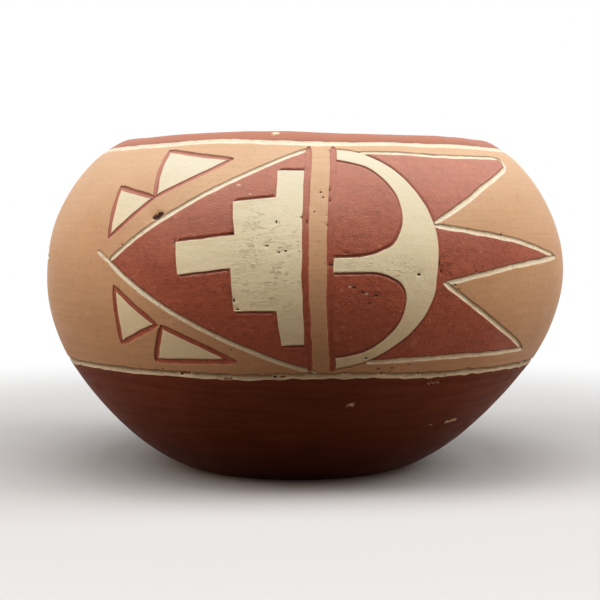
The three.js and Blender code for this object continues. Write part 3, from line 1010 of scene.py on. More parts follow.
    def carve(self) -> None:
        """Work out each point's depth and marks."""
        count = len(self.places)
        self.depth = np.zeros(count)
        self.marks = {mark: np.zeros(count) for mark in Marks}
        for item in self.fields:
            self.carve_field(item)
        for stroke in self.strokes:
            near = self.close_to(stroke.path)
            narrow = self.surface.narrowing(self.places[near, 1])
            distance, where = nearest(self.places[near], stroke.path, narrow)
            half = np.interp(where, np.arange(len(stroke.half)), stroke.half)
            inward = half - distance
            middle = np.interp(where, np.arange(len(stroke.path)), stroke.path[:, 1])
            above = np.clip((self.places[near, 1] - middle) / half, -1.0, 1.0)
            self.sink(near, (stroke.depth + stroke.tilt * above) * smooth_step(inward / stroke.bevel))
            # Grime and painted shade along the line's edges, stronger on its upper side.
            edge = 1.0 - smooth_step((inward - self.dirt_and_shade_overlap) / max(stroke.dirt_and_shade, TINY))
            edge *= np.where(above > self.upper_side_dirt_and_shade_start, 1.0, self.lower_side_dirt_and_shade)
            edge *= (inward > -self.dirt_and_shade_overlap / 2.0) * (stroke.dirt_and_shade > 0.0)
            covered = inward > self.dirt_and_shade_overlap
            self.marks[Marks.EDGE][near[covered]] = edge[covered]
            self.mark(Marks.EDGE, near[~covered], edge[~covered])
        for spot in self.spots:
            self.carve_spot(spot)
        for values in (self.depth, *self.marks.values()):
            values[:] = values[self.same]

    def carve_field(self, item: Field) -> None:
        """Sink a figure's fill and run the thin cut beside it."""
        near = self.close_to(item.outline)
        places = self.places[near]
        narrow = self.surface.narrowing(places[:, 1])
        closed = np.vstack([item.outline, item.outline[:1]])
        reach = nearest(places, closed, narrow)[0]
        within = lies_inside(places, item.outline)
        self.sink(near, item.sunk * np.where(within, smooth_step(reach / self.sunk_slope), 0.0))
        for side in item.sides[:item.cut_sides]:
            distance, where = nearest(places, side, narrow)
            outside = distance * np.where(within, -1.0, 1.0) * item.cut
            along = sideways(self.surface, side)[0]
            # Level cuts sink deeper and take more grime and painted shade than upright ones.
            level = np.abs(along[:, 0]) * self.surface.narrowing(side[:, 1])
            shares = self.upright_cut_depth_and_shade + (1.0 - self.upright_cut_depth_and_shade) * level
            strength = np.interp(where, np.arange(len(side)), shares)
            fall = np.minimum(outside, item.cut_width - outside) / self.slope
            self.sink(near, item.cut_depth * strength * smooth_step(fall))
            # Grime and painted shade in and beside the thin cut.
            inward = np.minimum(outside, item.cut_width - outside) + self.dirt_and_shade_overlap
            self.mark(Marks.EDGE, near, strength * smooth_step(inward / self.cut_dirt_and_shade))

    def carve_spot(self, spot: Spot) -> None:
        """Sink a pit or a nick."""
        middle = self.surface.drawn(np.array([spot.at]))
        near = self.close_to(middle, self.margin + self.spot_edge * max(spot.half))
        narrow = self.surface.narrowing(self.places[near, 1])
        spans = (self.places[near] - middle) * np.column_stack([narrow, np.ones(len(near))])
        away = np.linalg.norm(spans / spot.half, axis=1)
        share = smooth_step((self.spot_edge - away) / self.spot_slope)
        self.depth[near] += spot.depth * share
        self.mark(Marks.DARK, near, spot.dark * share)
        self.mark(Marks.PALE, near, spot.pale * share)
        self.mark(Marks.CRAZED, near, spot.crazed * share)

    def close_to(self, path: np.ndarray, margin: float | None = None) -> np.ndarray:
        """Return the points that lie in the box round a path, with the usual margin or another."""
        margin = self.margin if margin is None else margin
        low, high = path.min(axis=0) - margin, path.max(axis=0) + margin
        return np.flatnonzero(((self.places >= low) & (self.places <= high)).all(axis=1))

    def sink(self, near: np.ndarray, depth: np.ndarray) -> None:
        """Sink points to a depth, unless they lie deeper."""
        self.depth[near] = np.maximum(self.depth[near], depth)

    def mark(self, mark: Marks, near: np.ndarray, value: np.ndarray) -> None:
        """Mark points, unless they are marked more strongly."""
        self.marks[mark][near] = np.maximum(self.marks[mark][near], value)

    def claim(self) -> None:
        """Decide which piece each face belongs to."""
        rings = {stroke.piece: stroke.path for stroke in self.strokes if stroke.ring}
        middles = self.places[self.faces].mean(axis=1)
        waist, collar = (np.interp(middles[:, 0], rings[ring][:, 0], rings[ring][:, 1])
                         for ring in (self.waist, self.collar))
        owner = np.full(len(self.faces), "tan_slip_coat", dtype=object)
        owner[middles[:, 1] < waist] = "lower_coil"
        owner[middles[:, 1] > collar] = "rim_coil"
        for item in sorted((*self.fields, *self.strokes), key=lambda item: item.layer.value):
            outline = item.outline if isinstance(item, Field) else item.outline(self.surface, 0.0)
            owner[lies_inside(middles, outline)] = item.piece
        self.owner = owner

    def shade(self) -> None:
        """Place the points in space and find the skin's normals at them."""
        self.points = self.surface.points(self.places[:, 0], self.places[:, 1], self.depth)
        corners = self.same[self.faces]
        facing = face_normals(self.points, corners)
        normals = np.zeros((len(self.points), 3))
        for corner in range(3):
            np.add.at(normals, corners[:, corner], facing)
        normals = unit(normals)
        run = self.places[:, 1]
        border = (np.abs(run - self.low_run) < self.snap) | (np.abs(run - self.high_run) < self.snap)
        normals[border] = self.surface.normals(self.places[border, 0], run[border])
        self.normals = normals


@dataclass
class Row:
    """A level row of points round the bowl, or one point on its axis.

    Attributes:
        ids: The points' numbers in their shell.
        across: Their drawn lengths round the belly, rising from the seam.
        normals: The skin's normals at them.
    """

    ids: np.ndarray
    across: np.ndarray
    normals: np.ndarray


class Shell:
    """One closed piece in the making."""

    def __init__(self, girth: float) -> None:
        """Start with no points, on a drawing of that girth."""
        self.girth = girth
        self.points: list[np.ndarray] = []
        self.faces: list[np.ndarray] = []
        self.normals: list[np.ndarray] = []
        self.marks: dict[Marks, list[np.ndarray]] = {mark: [] for mark in Marks}
        self.count = 0

    def add_points(self, points: np.ndarray, marks: dict[Marks, np.ndarray]) -> np.ndarray:
        """Add points and return their numbers."""
        self.points.append(points)
        for mark, gathered in self.marks.items():
            gathered.append(marks.get(mark, np.zeros(len(points))))
        self.count += len(points)
        return np.arange(self.count - len(points), self.count)

    def add_faces(self, faces: np.ndarray, normals: np.ndarray | None = None) -> None:
        """Add triangles.

        Args:
            faces: Three point numbers for each.
            normals: A normal for each corner, or None for flat faces.
        """
        if normals is None:
            facing = unit(face_normals(np.vstack(self.points), faces))
            normals = np.repeat(facing[:, None, :], 3, axis=1)
        self.faces.append(faces)
        self.normals.append(normals)

    def take(self, sheet: Sheet, piece: str) -> tuple[np.ndarray, np.ndarray, np.ndarray]:
        """Add a piece's share of the outside.

        Args:
            sheet: The outside.
            piece: The piece's name.

        Returns:
            The sheet's points that the piece uses, their numbers in this shell, and its faces, as
            positions among those points.
        """
        faces = sheet.same[sheet.faces[sheet.owner == piece]]
        used, local = np.unique(faces, return_inverse=True)
        local = local.reshape(faces.shape)
        ids = self.add_points(sheet.points[used], {mark: marks[used] for mark, marks in sheet.marks.items()})
        self.add_faces(ids[local], sheet.normals[used][local])
        return used, ids, local

    def bridge(self, low: Row, high: Row, smooth: bool) -> None:
        """Join a row to the one after it on the way up the outside and down the inside."""
        faces, normals = [], []
        counts = [len(row.ids) if len(row.ids) > 1 else 0 for row in (low, high)]
        nexts = [np.append(row.across[1:], row.across[0] + self.girth) if count else np.array([np.inf])
                 for row, count in zip((low, high), counts)]
        here, there = 0, 0
        while here < counts[0] or there < counts[1]:
            near, far = here % len(low.ids), there % len(high.ids)
            if there >= counts[1] or (here < counts[0] and nexts[0][here] <= nexts[1][there]):
                here += 1
                ahead = here % len(low.ids)
                faces.append((low.ids[near], low.ids[ahead], high.ids[far]))
                normals.append((low.normals[near], low.normals[ahead], high.normals[far]))
            else:
                there += 1
                ahead = there % len(high.ids)
                faces.append((low.ids[near], high.ids[ahead], high.ids[far]))
                normals.append((low.normals[near], high.normals[ahead], high.normals[far]))
        self.add_faces(np.array(faces), np.array(normals) if smooth else None)

    def make(self, node: str, material: bpy.types.Material, slot: str) -> bpy.types.Object:
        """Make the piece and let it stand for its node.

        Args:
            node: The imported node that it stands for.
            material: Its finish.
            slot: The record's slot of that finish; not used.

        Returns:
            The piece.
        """
        mesh = bpy.data.meshes.new(f"{node}_shell")
        mesh.from_pydata((np.vstack(self.points) * MILLIMETRE).tolist(), [], np.vstack(self.faces).tolist())
        mesh.shade_smooth()
        mesh.normals_split_custom_set(np.vstack(self.normals).reshape(-1, 3).tolist())
        for mark, parts in self.marks.items():
            values = mesh.attributes.new(mark.value, "FLOAT", "POINT")
            values.data.foreach_set("value", np.concatenate(parts).astype(np.float32))
        mesh.materials.append(material)
        piece = bpy.data.objects.new(mesh.name, mesh)
        bpy.context.scene.collection.objects.link(piece)
        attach(piece, "root")
        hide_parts(node)
        return piece


def border_edges(faces: np.ndarray) -> np.ndarray:
    """Return the edges, in the faces' own direction, that only one face has."""
    edges = np.vstack([faces[:, [0, 1]], faces[:, [1, 2]], faces[:, [2, 0]]])
    size = int(faces.max()) + 1
    forward, backward = edges[:, 0] * size + edges[:, 1], edges[:, 1] * size + edges[:, 0]
    return edges[~np.isin(forward, backward)]


@dataclass
class Inlays:
    """The slip coat and all that is laid into it, as thin shells that seat side by side.

    Attributes:
        sheet: The outside that they are cut from.
        thickness: How thick they are.
    """

    sheet: Sheet
    thickness: float = 1.3

    def build(self, piece: str) -> Shell:
        """Build one of them, with its front, its back and its sides."""
        sheet = self.sheet
        shell = Shell(sheet.right - sheet.left)
        used, front, local = shell.take(sheet, piece)
        places = sheet.places[used]
        back = shell.add_points(sheet.surface.points(places[:, 0], places[:, 1], self.thickness), {})
        shell.add_faces(back[local][:, ::-1])
        start, end = border_edges(local).T
        shell.add_faces(np.vstack([np.column_stack([front[end], front[start], back[start]]),
                                   np.column_stack([front[end], back[start], back[end]])]))
        return shell


@dataclass
class Vessel:
    """The moulded base and the coils on it, each a closed ring of clay.

    Attributes:
        sheet: The outside from the base joint to the crest.
        coat: How far the coils lie under the skin where the coat or a white ring covers them.
        row_step: About how far apart the rows of the inside lie.
        slip_reach: How far the red slip runs down inside the lip.
        slip_fade: Height over which it thins out there.
        coil_rows: How many rows the covered side of a coil has.
        foot_rings: Shares of the foot's radius at which it has rings of points.
    """

    sheet: Sheet
    coat: float = 1.6
    row_step: float = 2.5
    slip_reach: float = 11.0
    slip_fade: float = 7.0
    coil_rows: int = 4
    foot_rings: Triple = (0.4, 0.75, 0.93)

    def build(self) -> dict[str, Shell]:
        """Build the base, the coils and the rim."""
        built = {"moulded_base": self.base(), "lower_coil": self.lower_coil()}
        coils = ["lower_coil", "belly_coil", "upper_belly_coil", "shoulder_coil", "neck_coil"]
        for below, coil in zip(coils, coils[1:]):
            built[coil] = self.coil(node_top(below), node_top(coil))
        built["rim_coil"] = self.rim()
        return built

    def shell(self) -> Shell:
        """Start a piece."""
        return Shell(self.sheet.right - self.sheet.left)

    def row(self, shell: Shell, run: float, depth: float = 0.0) -> Row:
        """Add a level row at a run and a depth under the skin."""
        sheet = self.sheet
        across = np.linspace(sheet.left, sheet.right, sheet.columns + 1)[:-1]
        runs = np.full(len(across), run)
        bare = (run - sheet.high_run - self.slip_reach) / self.slip_fade + 0.5
        marks = {Marks.BARE: np.full(len(across), min(max(bare, 0.0), 1.0))}
        ids = shell.add_points(sheet.surface.points(across, runs, depth), marks)
        return Row(ids, across, sheet.surface.normals(across, runs))

    def rows(self, shell: Shell, start: float, end: float) -> list[Row]:
        """Add rows on the skin from one run to another."""
        count = max(1, round(abs(end - start) / self.row_step))
        return [self.row(shell, run) for run in np.linspace(start, end, count + 1)]

    def chain(self, shell: Shell, rows: list[tuple[Row, bool]], closed: bool = True) -> Shell:
        """Join rows in order, each smoothly or not to the next, and the last to the first if closed."""
        turned = rows[1:] + (rows[:1] if closed else [])
        for (low, smooth), (high, _) in zip(rows, turned):
            shell.bridge(low, high, smooth)
        return shell

    def inside(self, shell: Shell, top: float, bottom: float) -> list[tuple[Row, bool]]:
        """Add the inside between two runs, smooth but for its last row."""
        rows = self.rows(shell, top, bottom)
        return [(row, index < len(rows) - 1) for index, row in enumerate(rows)]

    def coil(self, bottom: float, top: float) -> Shell:
        """Build a coil between two heights, behind the coat."""
        shell = self.shell()
        section = self.sheet.surface.section
        outer = [(self.row(shell, float(section.outside_run(height)), self.coat), False)
                 for height in np.linspace(bottom, top, self.coil_rows)]
        inner = self.inside(shell, section.inside_run(top), section.inside_run(bottom))
        return self.chain(shell, outer + inner)

    def front(self, shell: Shell, piece: str) -> tuple[Row, Row]:
        """Add a piece's share of the sheet and return its lower and its upper edge as rows."""
        sheet = self.sheet
        used, ids, local = shell.take(sheet, piece)
        edge = np.unique(border_edges(local))
        runs = sheet.places[used[edge], 1]
        middle = runs.mean()
        edges = []
        for chosen in (runs < middle, runs > middle):
            own = edge[chosen]
            own = own[np.argsort(sheet.places[used[own], 0])]
            edges.append(Row(ids[own], sheet.places[used[own], 0], sheet.normals[used[own]]))
        return edges[0], edges[1]

    def ring_run(self, ring: str, side: float) -> float:
        """Return the usual run of a white ring's lower edge, with side -1, or upper edge, with 1."""
        stroke = next(stroke for stroke in self.sheet.strokes if stroke.piece == ring)
        return float(stroke.path[:, 1].mean() + side * stroke.half.mean())

    def lower_coil(self) -> Shell:
        """Build the coil under the waist line."""
        shell = self.shell()
        section = self.sheet.surface.section
        bottom, top = self.front(shell, "lower_coil")
        joint = node_top("lower_coil")
        behind = [(self.row(shell, run, self.coat), False)
                  for run in (self.ring_run(self.sheet.waist, -1.0), float(section.outside_run(joint)))]
        inner = self.inside(shell, section.inside_run(joint), section.inside_run(node_top("moulded_base")))
        return self.chain(shell, [(top, False), *behind, *inner, (bottom, False)], closed=False)

    def rim(self) -> Shell:
        """Build the rim above the collar line, with its lip."""
        shell = self.shell()
        section = self.sheet.surface.section
        bottom, top = self.front(shell, "rim_coil")
        joint = node_top("neck_coil")
        inner = self.inside(shell, self.sheet.high_run + self.row_step, section.inside_run(joint))
        behind = [(self.row(shell, run, self.coat), False)
                  for run in (float(section.outside_run(joint)), self.ring_run(self.sheet.collar, 1.0))]
        return self.chain(shell, [(top, True), *inner, *behind, (bottom, False)], closed=False)

    def hub(self, shell: Shell, place: np.ndarray, up: float) -> Row:
        """Add a point of bare clay on the bowl's axis, that faces up, with 1, or down, with -1."""
        ids = shell.add_points(place[None, :], {Marks.BARE: np.ones(1)})
        return Row(ids, np.zeros(1), np.array([[0.0, 0.0, up]]))

    def base(self) -> Shell:
        """Build the base, with the flat foot and the floor."""
        shell = self.shell()
        surface = self.sheet.surface
        section = surface.section
        foot = self.row(shell, 0.0)
        edge = np.vstack(shell.points)[foot.ids]
        down = np.tile([0.0, 0.0, -1.0], (len(edge), 1))
        middle = edge.mean(axis=0)
        rows = [(self.hub(shell, middle, -1.0), False)]
        for share in self.foot_rings:
            marks = {Marks.BARE: np.ones(len(edge))}
            ids = shell.add_points(middle + (edge - middle) * share, marks)
            rows.append((Row(ids, foot.across, down), False))
        outer = [(row, True) for row in self.rows(shell, self.row_step, self.sheet.low_run)]
        outer[-1] = (outer[-1][0], False)
        joint = section.inside_run(node_top("moulded_base"))
        inner = self.inside(shell, joint, section.runs[-1] - self.row_step)
        inner[-1] = (inner[-1][0], True)
        centre = self.hub(shell, np.array([middle[0], middle[1], section.floor_thickness]), 1.0)
        return self.chain(shell, [*rows, (foot, True), *outer, *inner, (centre, False)], closed=False)


def linear(colour: Colour) -> ShaderColour:
    """Turn a screen colour, 0 to 255, into the values that a shader takes."""
    values = []
    for part in colour:
        share = part / 255.0
        values.append(share / 12.92 if share <= 0.04045 else ((share + 0.055) / 1.055) ** 2.4)
    return (*values, 1.0)


@dataclass(frozen=True)
class Noise:
    """One kind of noise, and how a layer follows it.

    Attributes:
        swings: Its swings to the metre, along each axis.
        detail: How many finer layers it has.
        rough: How strong each finer layer is beside the one before it.
        turn: Its turn about each axis, in radians, where its rows would show.
        span: Values between which the layer comes in.
        share: How much it frays the layer's edge.
    """

    swings: Triple
    detail: float = 3.0
    rough: float = 0.55
    turn: Triple = (0.0, 0.0, 0.0)
    span: Span = (0.0, 1.0)
    share: float = 0.0


class Bench:
    """Lays out the nodes of one material."""

    def __init__(self, name: str) -> None:
        """Start a material with nothing but its output."""
        self.material = bpy.data.materials.new(name)
        self.material.use_nodes = True
        self.tree = self.material.node_tree
        self.tree.nodes.clear()
        self.output = self.tree.nodes.new("ShaderNodeOutputMaterial")
        own = self.add("ShaderNodeTexCoord").outputs
        self.place, self.facing = own["Object"], own["Normal"]

    def add(self, kind: str, inputs: dict[str | int, object] | None = None,
            **settings: object) -> bpy.types.Node:
        """Add a node.

        Args:
            kind: Its type.
            inputs: Values or sockets for its inputs.
            **settings: Its own options.

        Returns:
            The node.
        """
        node = self.tree.nodes.new(kind)
        for name, value in settings.items():
            setattr(node, name, value)
        for name, value in (inputs or {}).items():
            if isinstance(value, Socket):
                self.tree.links.new(value, node.inputs[name])
            else:
                node.inputs[name].default_value = value
        return node

    def noise(self, kind: Noise) -> Socket:
        """Return noise of a kind."""
        mapping = {"Vector": self.place, "Rotation": kind.turn, "Scale": kind.swings}
        mapped = self.add("ShaderNodeMapping", mapping).outputs[0]
        inputs = {"Vector": mapped, "Scale": 1.0, "Detail": kind.detail, "Roughness": kind.rough}
        return self.add("ShaderNodeTexNoise", inputs).outputs["Fac"]

    def ramp(self, value: Socket, span: Span, top: float = 1.0, bottom: float = 0.0) -> Socket:
        """Ease a value from bottom, at the start of a span, to top, at its end."""
        inputs = {"Value": value, "From Min": span[0], "From Max": span[1], "To Min": bottom, "To Max": top}
        return self.add("ShaderNodeMapRange", inputs, interpolation_type="SMOOTHSTEP").outputs[0]

    def upright(self, vector: Socket) -> Socket:
        """Return a vector's upright part."""
        return self.add("ShaderNodeSeparateXYZ", {0: vector}).outputs["Z"]

    def mark(self, mark: Marks) -> Socket:
        """Return what the mesh says of a mark."""
        return self.add("ShaderNodeAttribute", attribute_name=mark.value).outputs["Fac"]

    def sum(self, first: Socket, second: Socket, share: float) -> Socket:
        """Return the first value with a share of the second added."""
        inputs = {0: second, 1: share, 2: first}
        return self.add("ShaderNodeMath", inputs, operation="MULTIPLY_ADD").outputs[0]

    def frayed(self, value: Socket, kind: Noise, top: float = 1.0) -> Socket:
        """Ease a value in, up to top, over a noise's span, with its edge frayed by that noise."""
        return self.ramp(self.sum(value, self.noise(kind), kind.share), kind.span, top)

    def times(self, first: Socket, second: Socket) -> Socket:
        """Return two values' product."""
        return self.add("ShaderNodeMath", {0: first, 1: second}, operation="MULTIPLY").outputs[0]

    def blend(self, share: Socket, under: Socket | ShaderColour, over: Socket | ShaderColour) -> Socket:
        """Lay one colour over another by a share."""
        node = self.add("ShaderNodeMix", data_type="RGBA")
        for name, value in (("Factor", share), ("A", under), ("B", over)):
            socket = next(each for each in node.inputs if each.name == name and (
                each.type == "VALUE" if name == "Factor" else each.type == "RGBA"))
            if isinstance(value, Socket):
                self.tree.links.new(value, socket)
            else:
                socket.default_value = value
        return next(each for each in node.outputs if each.type == "RGBA")


@dataclass(frozen=True)
class SlipFinish:
    """A slip as it fired, with its brush marks and its wear.

    Attributes:
        slot: The record's slot that it is for.
        colour: Its usual colour.
        deep: Its colour where it lies thick or was burnished hard.
        worn: Its colour where it is thin or rubbed.
        edge: Its colour in cuts and along edges, where it is partly grime and partly painted shade.
        edge_dirt_and_shade_share: How strongly the edge colour, with its painted shade, shows.
        streaks: Swings of the brush marks to the metre, along each axis.
        streak_share: How strongly they show.
        patch_share: How strongly cloudy patches show.
        mottle_share: How strongly small blotches show.
        worn_share: How strongly it is worn.
        speck_share: How strongly pale and dark specks show.
        roughness: How rough it is to the light.
        gloss: How strongly it shines.
        lip_wear_and_sheen_share: How far wear from hands and painted sheen pale it on the lip.
        foot_darkening_share: How far it darkens toward the foot.
        dust_and_sheen_share: How strongly dusting and painted sheen pale it where it faces up.
        grain: Height of its grain, in millimetres.
        grain_scale: Swings of the grain to the metre.
        crackle: Depth of its cracks, as a multiple of the grain.
        crack: The colour in its cracks, partly grime and partly painted shade.
        crack_dirt_and_shade_share: How strongly it shows.
        dust_and_sheen: The colour of the dusting and painted sheen on upward faces.
        pit: The colour in a pit.
        nick: The colour of a nick.
        clay: The colour of bare clay.
        clay_deep: The colour of bare clay where it is darker.
    """

    slot: str
    colour: Colour
    deep: Colour
    worn: Colour
    edge: Colour = (80, 52, 38)
    edge_dirt_and_shade_share: float = 0.6
    streaks: Triple = (40.0, 40.0, 700.0)
    streak_share: float = 0.25
    patch_share: float = 0.35
    mottle_share: float = 0.3
    worn_share: float = 0.3
    speck_share: float = 0.3
    roughness: float = 0.52
    gloss: float = 0.5
    lip_wear_and_sheen_share: float = 0.0
    foot_darkening_share: float = 0.0
    dust_and_sheen_share: float = 0.2
    grain: float = 0.08
    grain_scale: float = 1500.0
    crackle: float = 0.0
    crack: Colour = (120, 100, 68)
    crack_dirt_and_shade_share: float = 0.45
    dust_and_sheen: Colour = (236, 222, 208)
    pit: Colour = (60, 30, 12)
    nick: Colour = (216, 186, 160)
    clay: Colour = (196, 158, 122)
    clay_deep: Colour = (160, 122, 92)

    def material(self) -> bpy.types.Material:
        """Make the material."""
        coat = Coat(self)
        coat.lay_slip()
        if self.lip_wear_and_sheen_share:
            coat.lay_foot_and_lip()
        coat.lay_wear()
        return coat.finished()


@dataclass(frozen=True)
class Texture:
    """What the finishes share: their noises, and the spans of values over which layers come in.

    Attributes:
        patches: Cloudy patches.
        mottle: Small blotches.
        wear: Worn places.
        specks: Fine specks, with the span of the pale ones.
        dark_specks: The span of the dark ones.
        streaks: The span of the brush streaks.
        foot_darkening: Darkening toward the foot, with its span of heights in metres.
        lip_wear_and_sheen: Wear from hands and painted sheen on the lip, likewise.
        dust_and_sheen: How far a surface has to face up for dusting and painted sheen.
        bare: Bare clay.
        bare_deep: Where in the patches its darker colour comes in.
        dirt_and_shade: Where grime and painted shade come in.
        dirt_and_shade_fray: How much wear frays the edge of the grime and painted shade.
        ragged: Pits and nicks.
        folds: The noise whose middle level the cracks follow.
        crack: That level, and how far from it a crack still is.
        crazed_wear: Where in the wear cracks come in.
        crazed_mottle: Where in the blotches they come in.
        crack_shade: Where in the grain their colour comes in.
        fine_detail: How many finer layers the streaks and the grain have.
        upright_grain: How many times as many swings the grain has upright.
        relief: Heights of the blotches and of the wear, beside the grain.
        rough: Where in the wear the roughness rises.
        rough_change: How far below its usual value it starts, and how far above it ends.
    """

    patches: Noise = Noise((38.0, 38.0, 55.0), 4.0, span=(0.4, 0.75))
    mottle: Noise = Noise((420.0, 420.0, 560.0), 4.0, 0.65, (0.4, 0.9, 0.2), (0.48, 0.66))
    wear: Noise = Noise((150.0, 150.0, 210.0), 5.0, 0.65, span=(0.58, 0.72))
    specks: Noise = Noise((780.0, 780.0, 820.0), 2.0, 0.5, (0.9, 0.5, 0.7), (0.34, 0.27))
    dark_specks: Span = (0.64, 0.7)
    streaks: Span = (0.35, 0.7)
    foot_darkening: Noise = Noise((30.0, 30.0, 60.0), span=(0.05, 0.015), share=0.02)
    lip_wear_and_sheen: Noise = Noise((50.0, 50.0, 600.0), span=(0.1165, 0.1205), share=0.004)
    dust_and_sheen: Span = (0.0, 0.9)
    bare: Noise = Noise((60.0, 60.0, 60.0), 4.0, span=(0.7, 0.8), share=0.5)
    bare_deep: Span = (0.3, 0.85)
    dirt_and_shade: Span = (0.55, 1.15)
    dirt_and_shade_fray: float = 0.6
    ragged: Noise = Noise((1900.0, 1900.0, 1900.0), 3.0, 0.7, span=(1.0, 1.3), share=1.3)
    folds: Noise = Noise((130.0, 130.0, 640.0), 3.0, 0.6)
    crack: Pair = (0.5, 0.017)
    crazed_wear: Span = (0.43, 0.53)
    crazed_mottle: Span = (0.4, 0.54)
    crack_shade: Span = (0.35, 0.6)
    fine_detail: Pair = (2.0, 3.0)
    upright_grain: float = 1.6
    relief: Pair = (1.0, 1.5)
    rough: Span = (0.3, 0.7)
    rough_change: Pair = (0.05, 0.08)


TEXTURE = Texture()


class Coat:
    """Lays the nodes of one finish, layer on layer."""

    def __init__(self, finish: SlipFinish) -> None:
        """Start with the plain colour, and the noises that several layers share."""
        self.finish = finish
        self.bench = Bench(finish.slot)
        self.colour: Socket | ShaderColour = linear(finish.colour)
        self.patches = self.bench.noise(TEXTURE.patches)
        self.wear = self.bench.noise(TEXTURE.wear)
        self.mottle = self.bench.noise(TEXTURE.mottle)
        swings = (finish.grain_scale, finish.grain_scale, TEXTURE.upright_grain * finish.grain_scale)
        self.grain = self.bench.noise(Noise(swings, TEXTURE.fine_detail[1]))

    def lay(self, share: Socket, over: Socket | ShaderColour) -> None:
        """Lay a colour over what is there, by a share."""
        self.colour = self.bench.blend(share, self.colour, over)

    def lay_slip(self) -> None:
        """Lay the slip's streaks, patches and blotches, its worn places and its specks."""
        finish, bench = self.finish, self.bench
        streaks = bench.noise(Noise(finish.streaks, TEXTURE.fine_detail[0]))
        specks = bench.noise(TEXTURE.specks)
        for noise, span, share, tint in (
                (streaks, TEXTURE.streaks, finish.streak_share, finish.deep),
                (self.patches, TEXTURE.patches.span, finish.patch_share, finish.deep),
                (self.mottle, TEXTURE.mottle.span, finish.mottle_share, finish.deep),
                (self.wear, TEXTURE.wear.span, finish.worn_share, finish.worn),
                (specks, TEXTURE.specks.span, finish.speck_share, finish.worn),
                (specks, TEXTURE.dark_specks, finish.speck_share, finish.edge)):
            self.lay(bench.ramp(noise, span, share), linear(tint))

    def lay_foot_and_lip(self) -> None:
        """Darken the slip toward the foot, and pale the lip with wear from hands and painted sheen."""
        finish, bench = self.finish, self.bench
        height = bench.upright(bench.place)
        # Darker toward the foot.
        self.lay(bench.frayed(height, TEXTURE.foot_darkening, finish.foot_darkening_share), linear(finish.edge))
        # Wear from hands and painted sheen pale the lip.
        self.lay(bench.frayed(height, TEXTURE.lip_wear_and_sheen, finish.lip_wear_and_sheen_share), linear(finish.worn))

    def lay_wear(self) -> None:
        """Lay the dusting with its painted sheen, the bare clay, the grime and painted shade in cuts and
        along edges, the nicks and the pits.
        """
        finish, bench = self.finish, self.bench
        # Dusting and painted sheen: paler where the surface faces up.
        dust_and_sheen = bench.ramp(bench.upright(bench.facing), TEXTURE.dust_and_sheen, finish.dust_and_sheen_share)
        self.lay(dust_and_sheen, linear(finish.dust_and_sheen))
        deep = bench.ramp(self.patches, TEXTURE.bare_deep)
        clay = bench.blend(deep, linear(finish.clay), linear(finish.clay_deep))
        self.lay(bench.frayed(bench.mark(Marks.BARE), TEXTURE.bare), clay)
        # Grime and painted shade in cuts and along the edges of lines.
        dirt_and_shade = bench.sum(bench.mark(Marks.EDGE), self.wear, TEXTURE.dirt_and_shade_fray)
        self.lay(bench.ramp(dirt_and_shade, TEXTURE.dirt_and_shade, finish.edge_dirt_and_shade_share), linear(finish.edge))
        for mark, tint in ((Marks.PALE, finish.nick), (Marks.DARK, finish.pit)):
            self.lay(bench.frayed(bench.mark(mark), TEXTURE.ragged), linear(tint))

    def cracks(self) -> Socket:
        """Return where the cracks are, and lay their colour of grime and painted shade."""
        finish, bench = self.finish, self.bench
        levels = {0: bench.noise(TEXTURE.folds), 1: TEXTURE.crack[0], 2: TEXTURE.crack[1]}
        apart = bench.add("ShaderNodeMath", levels, operation="COMPARE").outputs[0]
        worn = bench.ramp(self.wear, TEXTURE.crazed_wear)
        patchy = bench.times(worn, bench.ramp(self.mottle, TEXTURE.crazed_mottle))
        cracks = bench.times(bench.times(apart, patchy), bench.mark(Marks.CRAZED))
        # Grime and painted shade in the cracks.
        shade = bench.ramp(self.grain, TEXTURE.crack_shade, finish.crack_dirt_and_shade_share)
        self.lay(bench.times(cracks, shade), linear(finish.crack))
        return cracks

    def finished(self) -> bpy.types.Material:
        """Add the grain and the cracks, and return the material."""
        finish, bench = self.finish, self.bench
        relief = bench.sum(self.grain, self.mottle, TEXTURE.relief[0])
        relief = bench.sum(relief, self.wear, TEXTURE.relief[1])
        if finish.crackle:
            relief = bench.sum(relief, self.cracks(), -finish.crackle)
        bump = bench.add("ShaderNodeBump", {"Height": relief, "Strength": 1.0,
                                            "Distance": finish.grain * MILLIMETRE})
        below, above = TEXTURE.rough_change
        rough = bench.ramp(self.wear, TEXTURE.rough, finish.roughness + above, finish.roughness - below)
        shader = bench.add("ShaderNodeBsdfPrincipled", {
            "Base Color": self.colour, "Roughness": rough, "Normal": bump.outputs[0],
            "Specular IOR Level": finish.gloss})
        bench.tree.links.new(shader.outputs[0], bench.output.inputs["Surface"])
        return bench.material


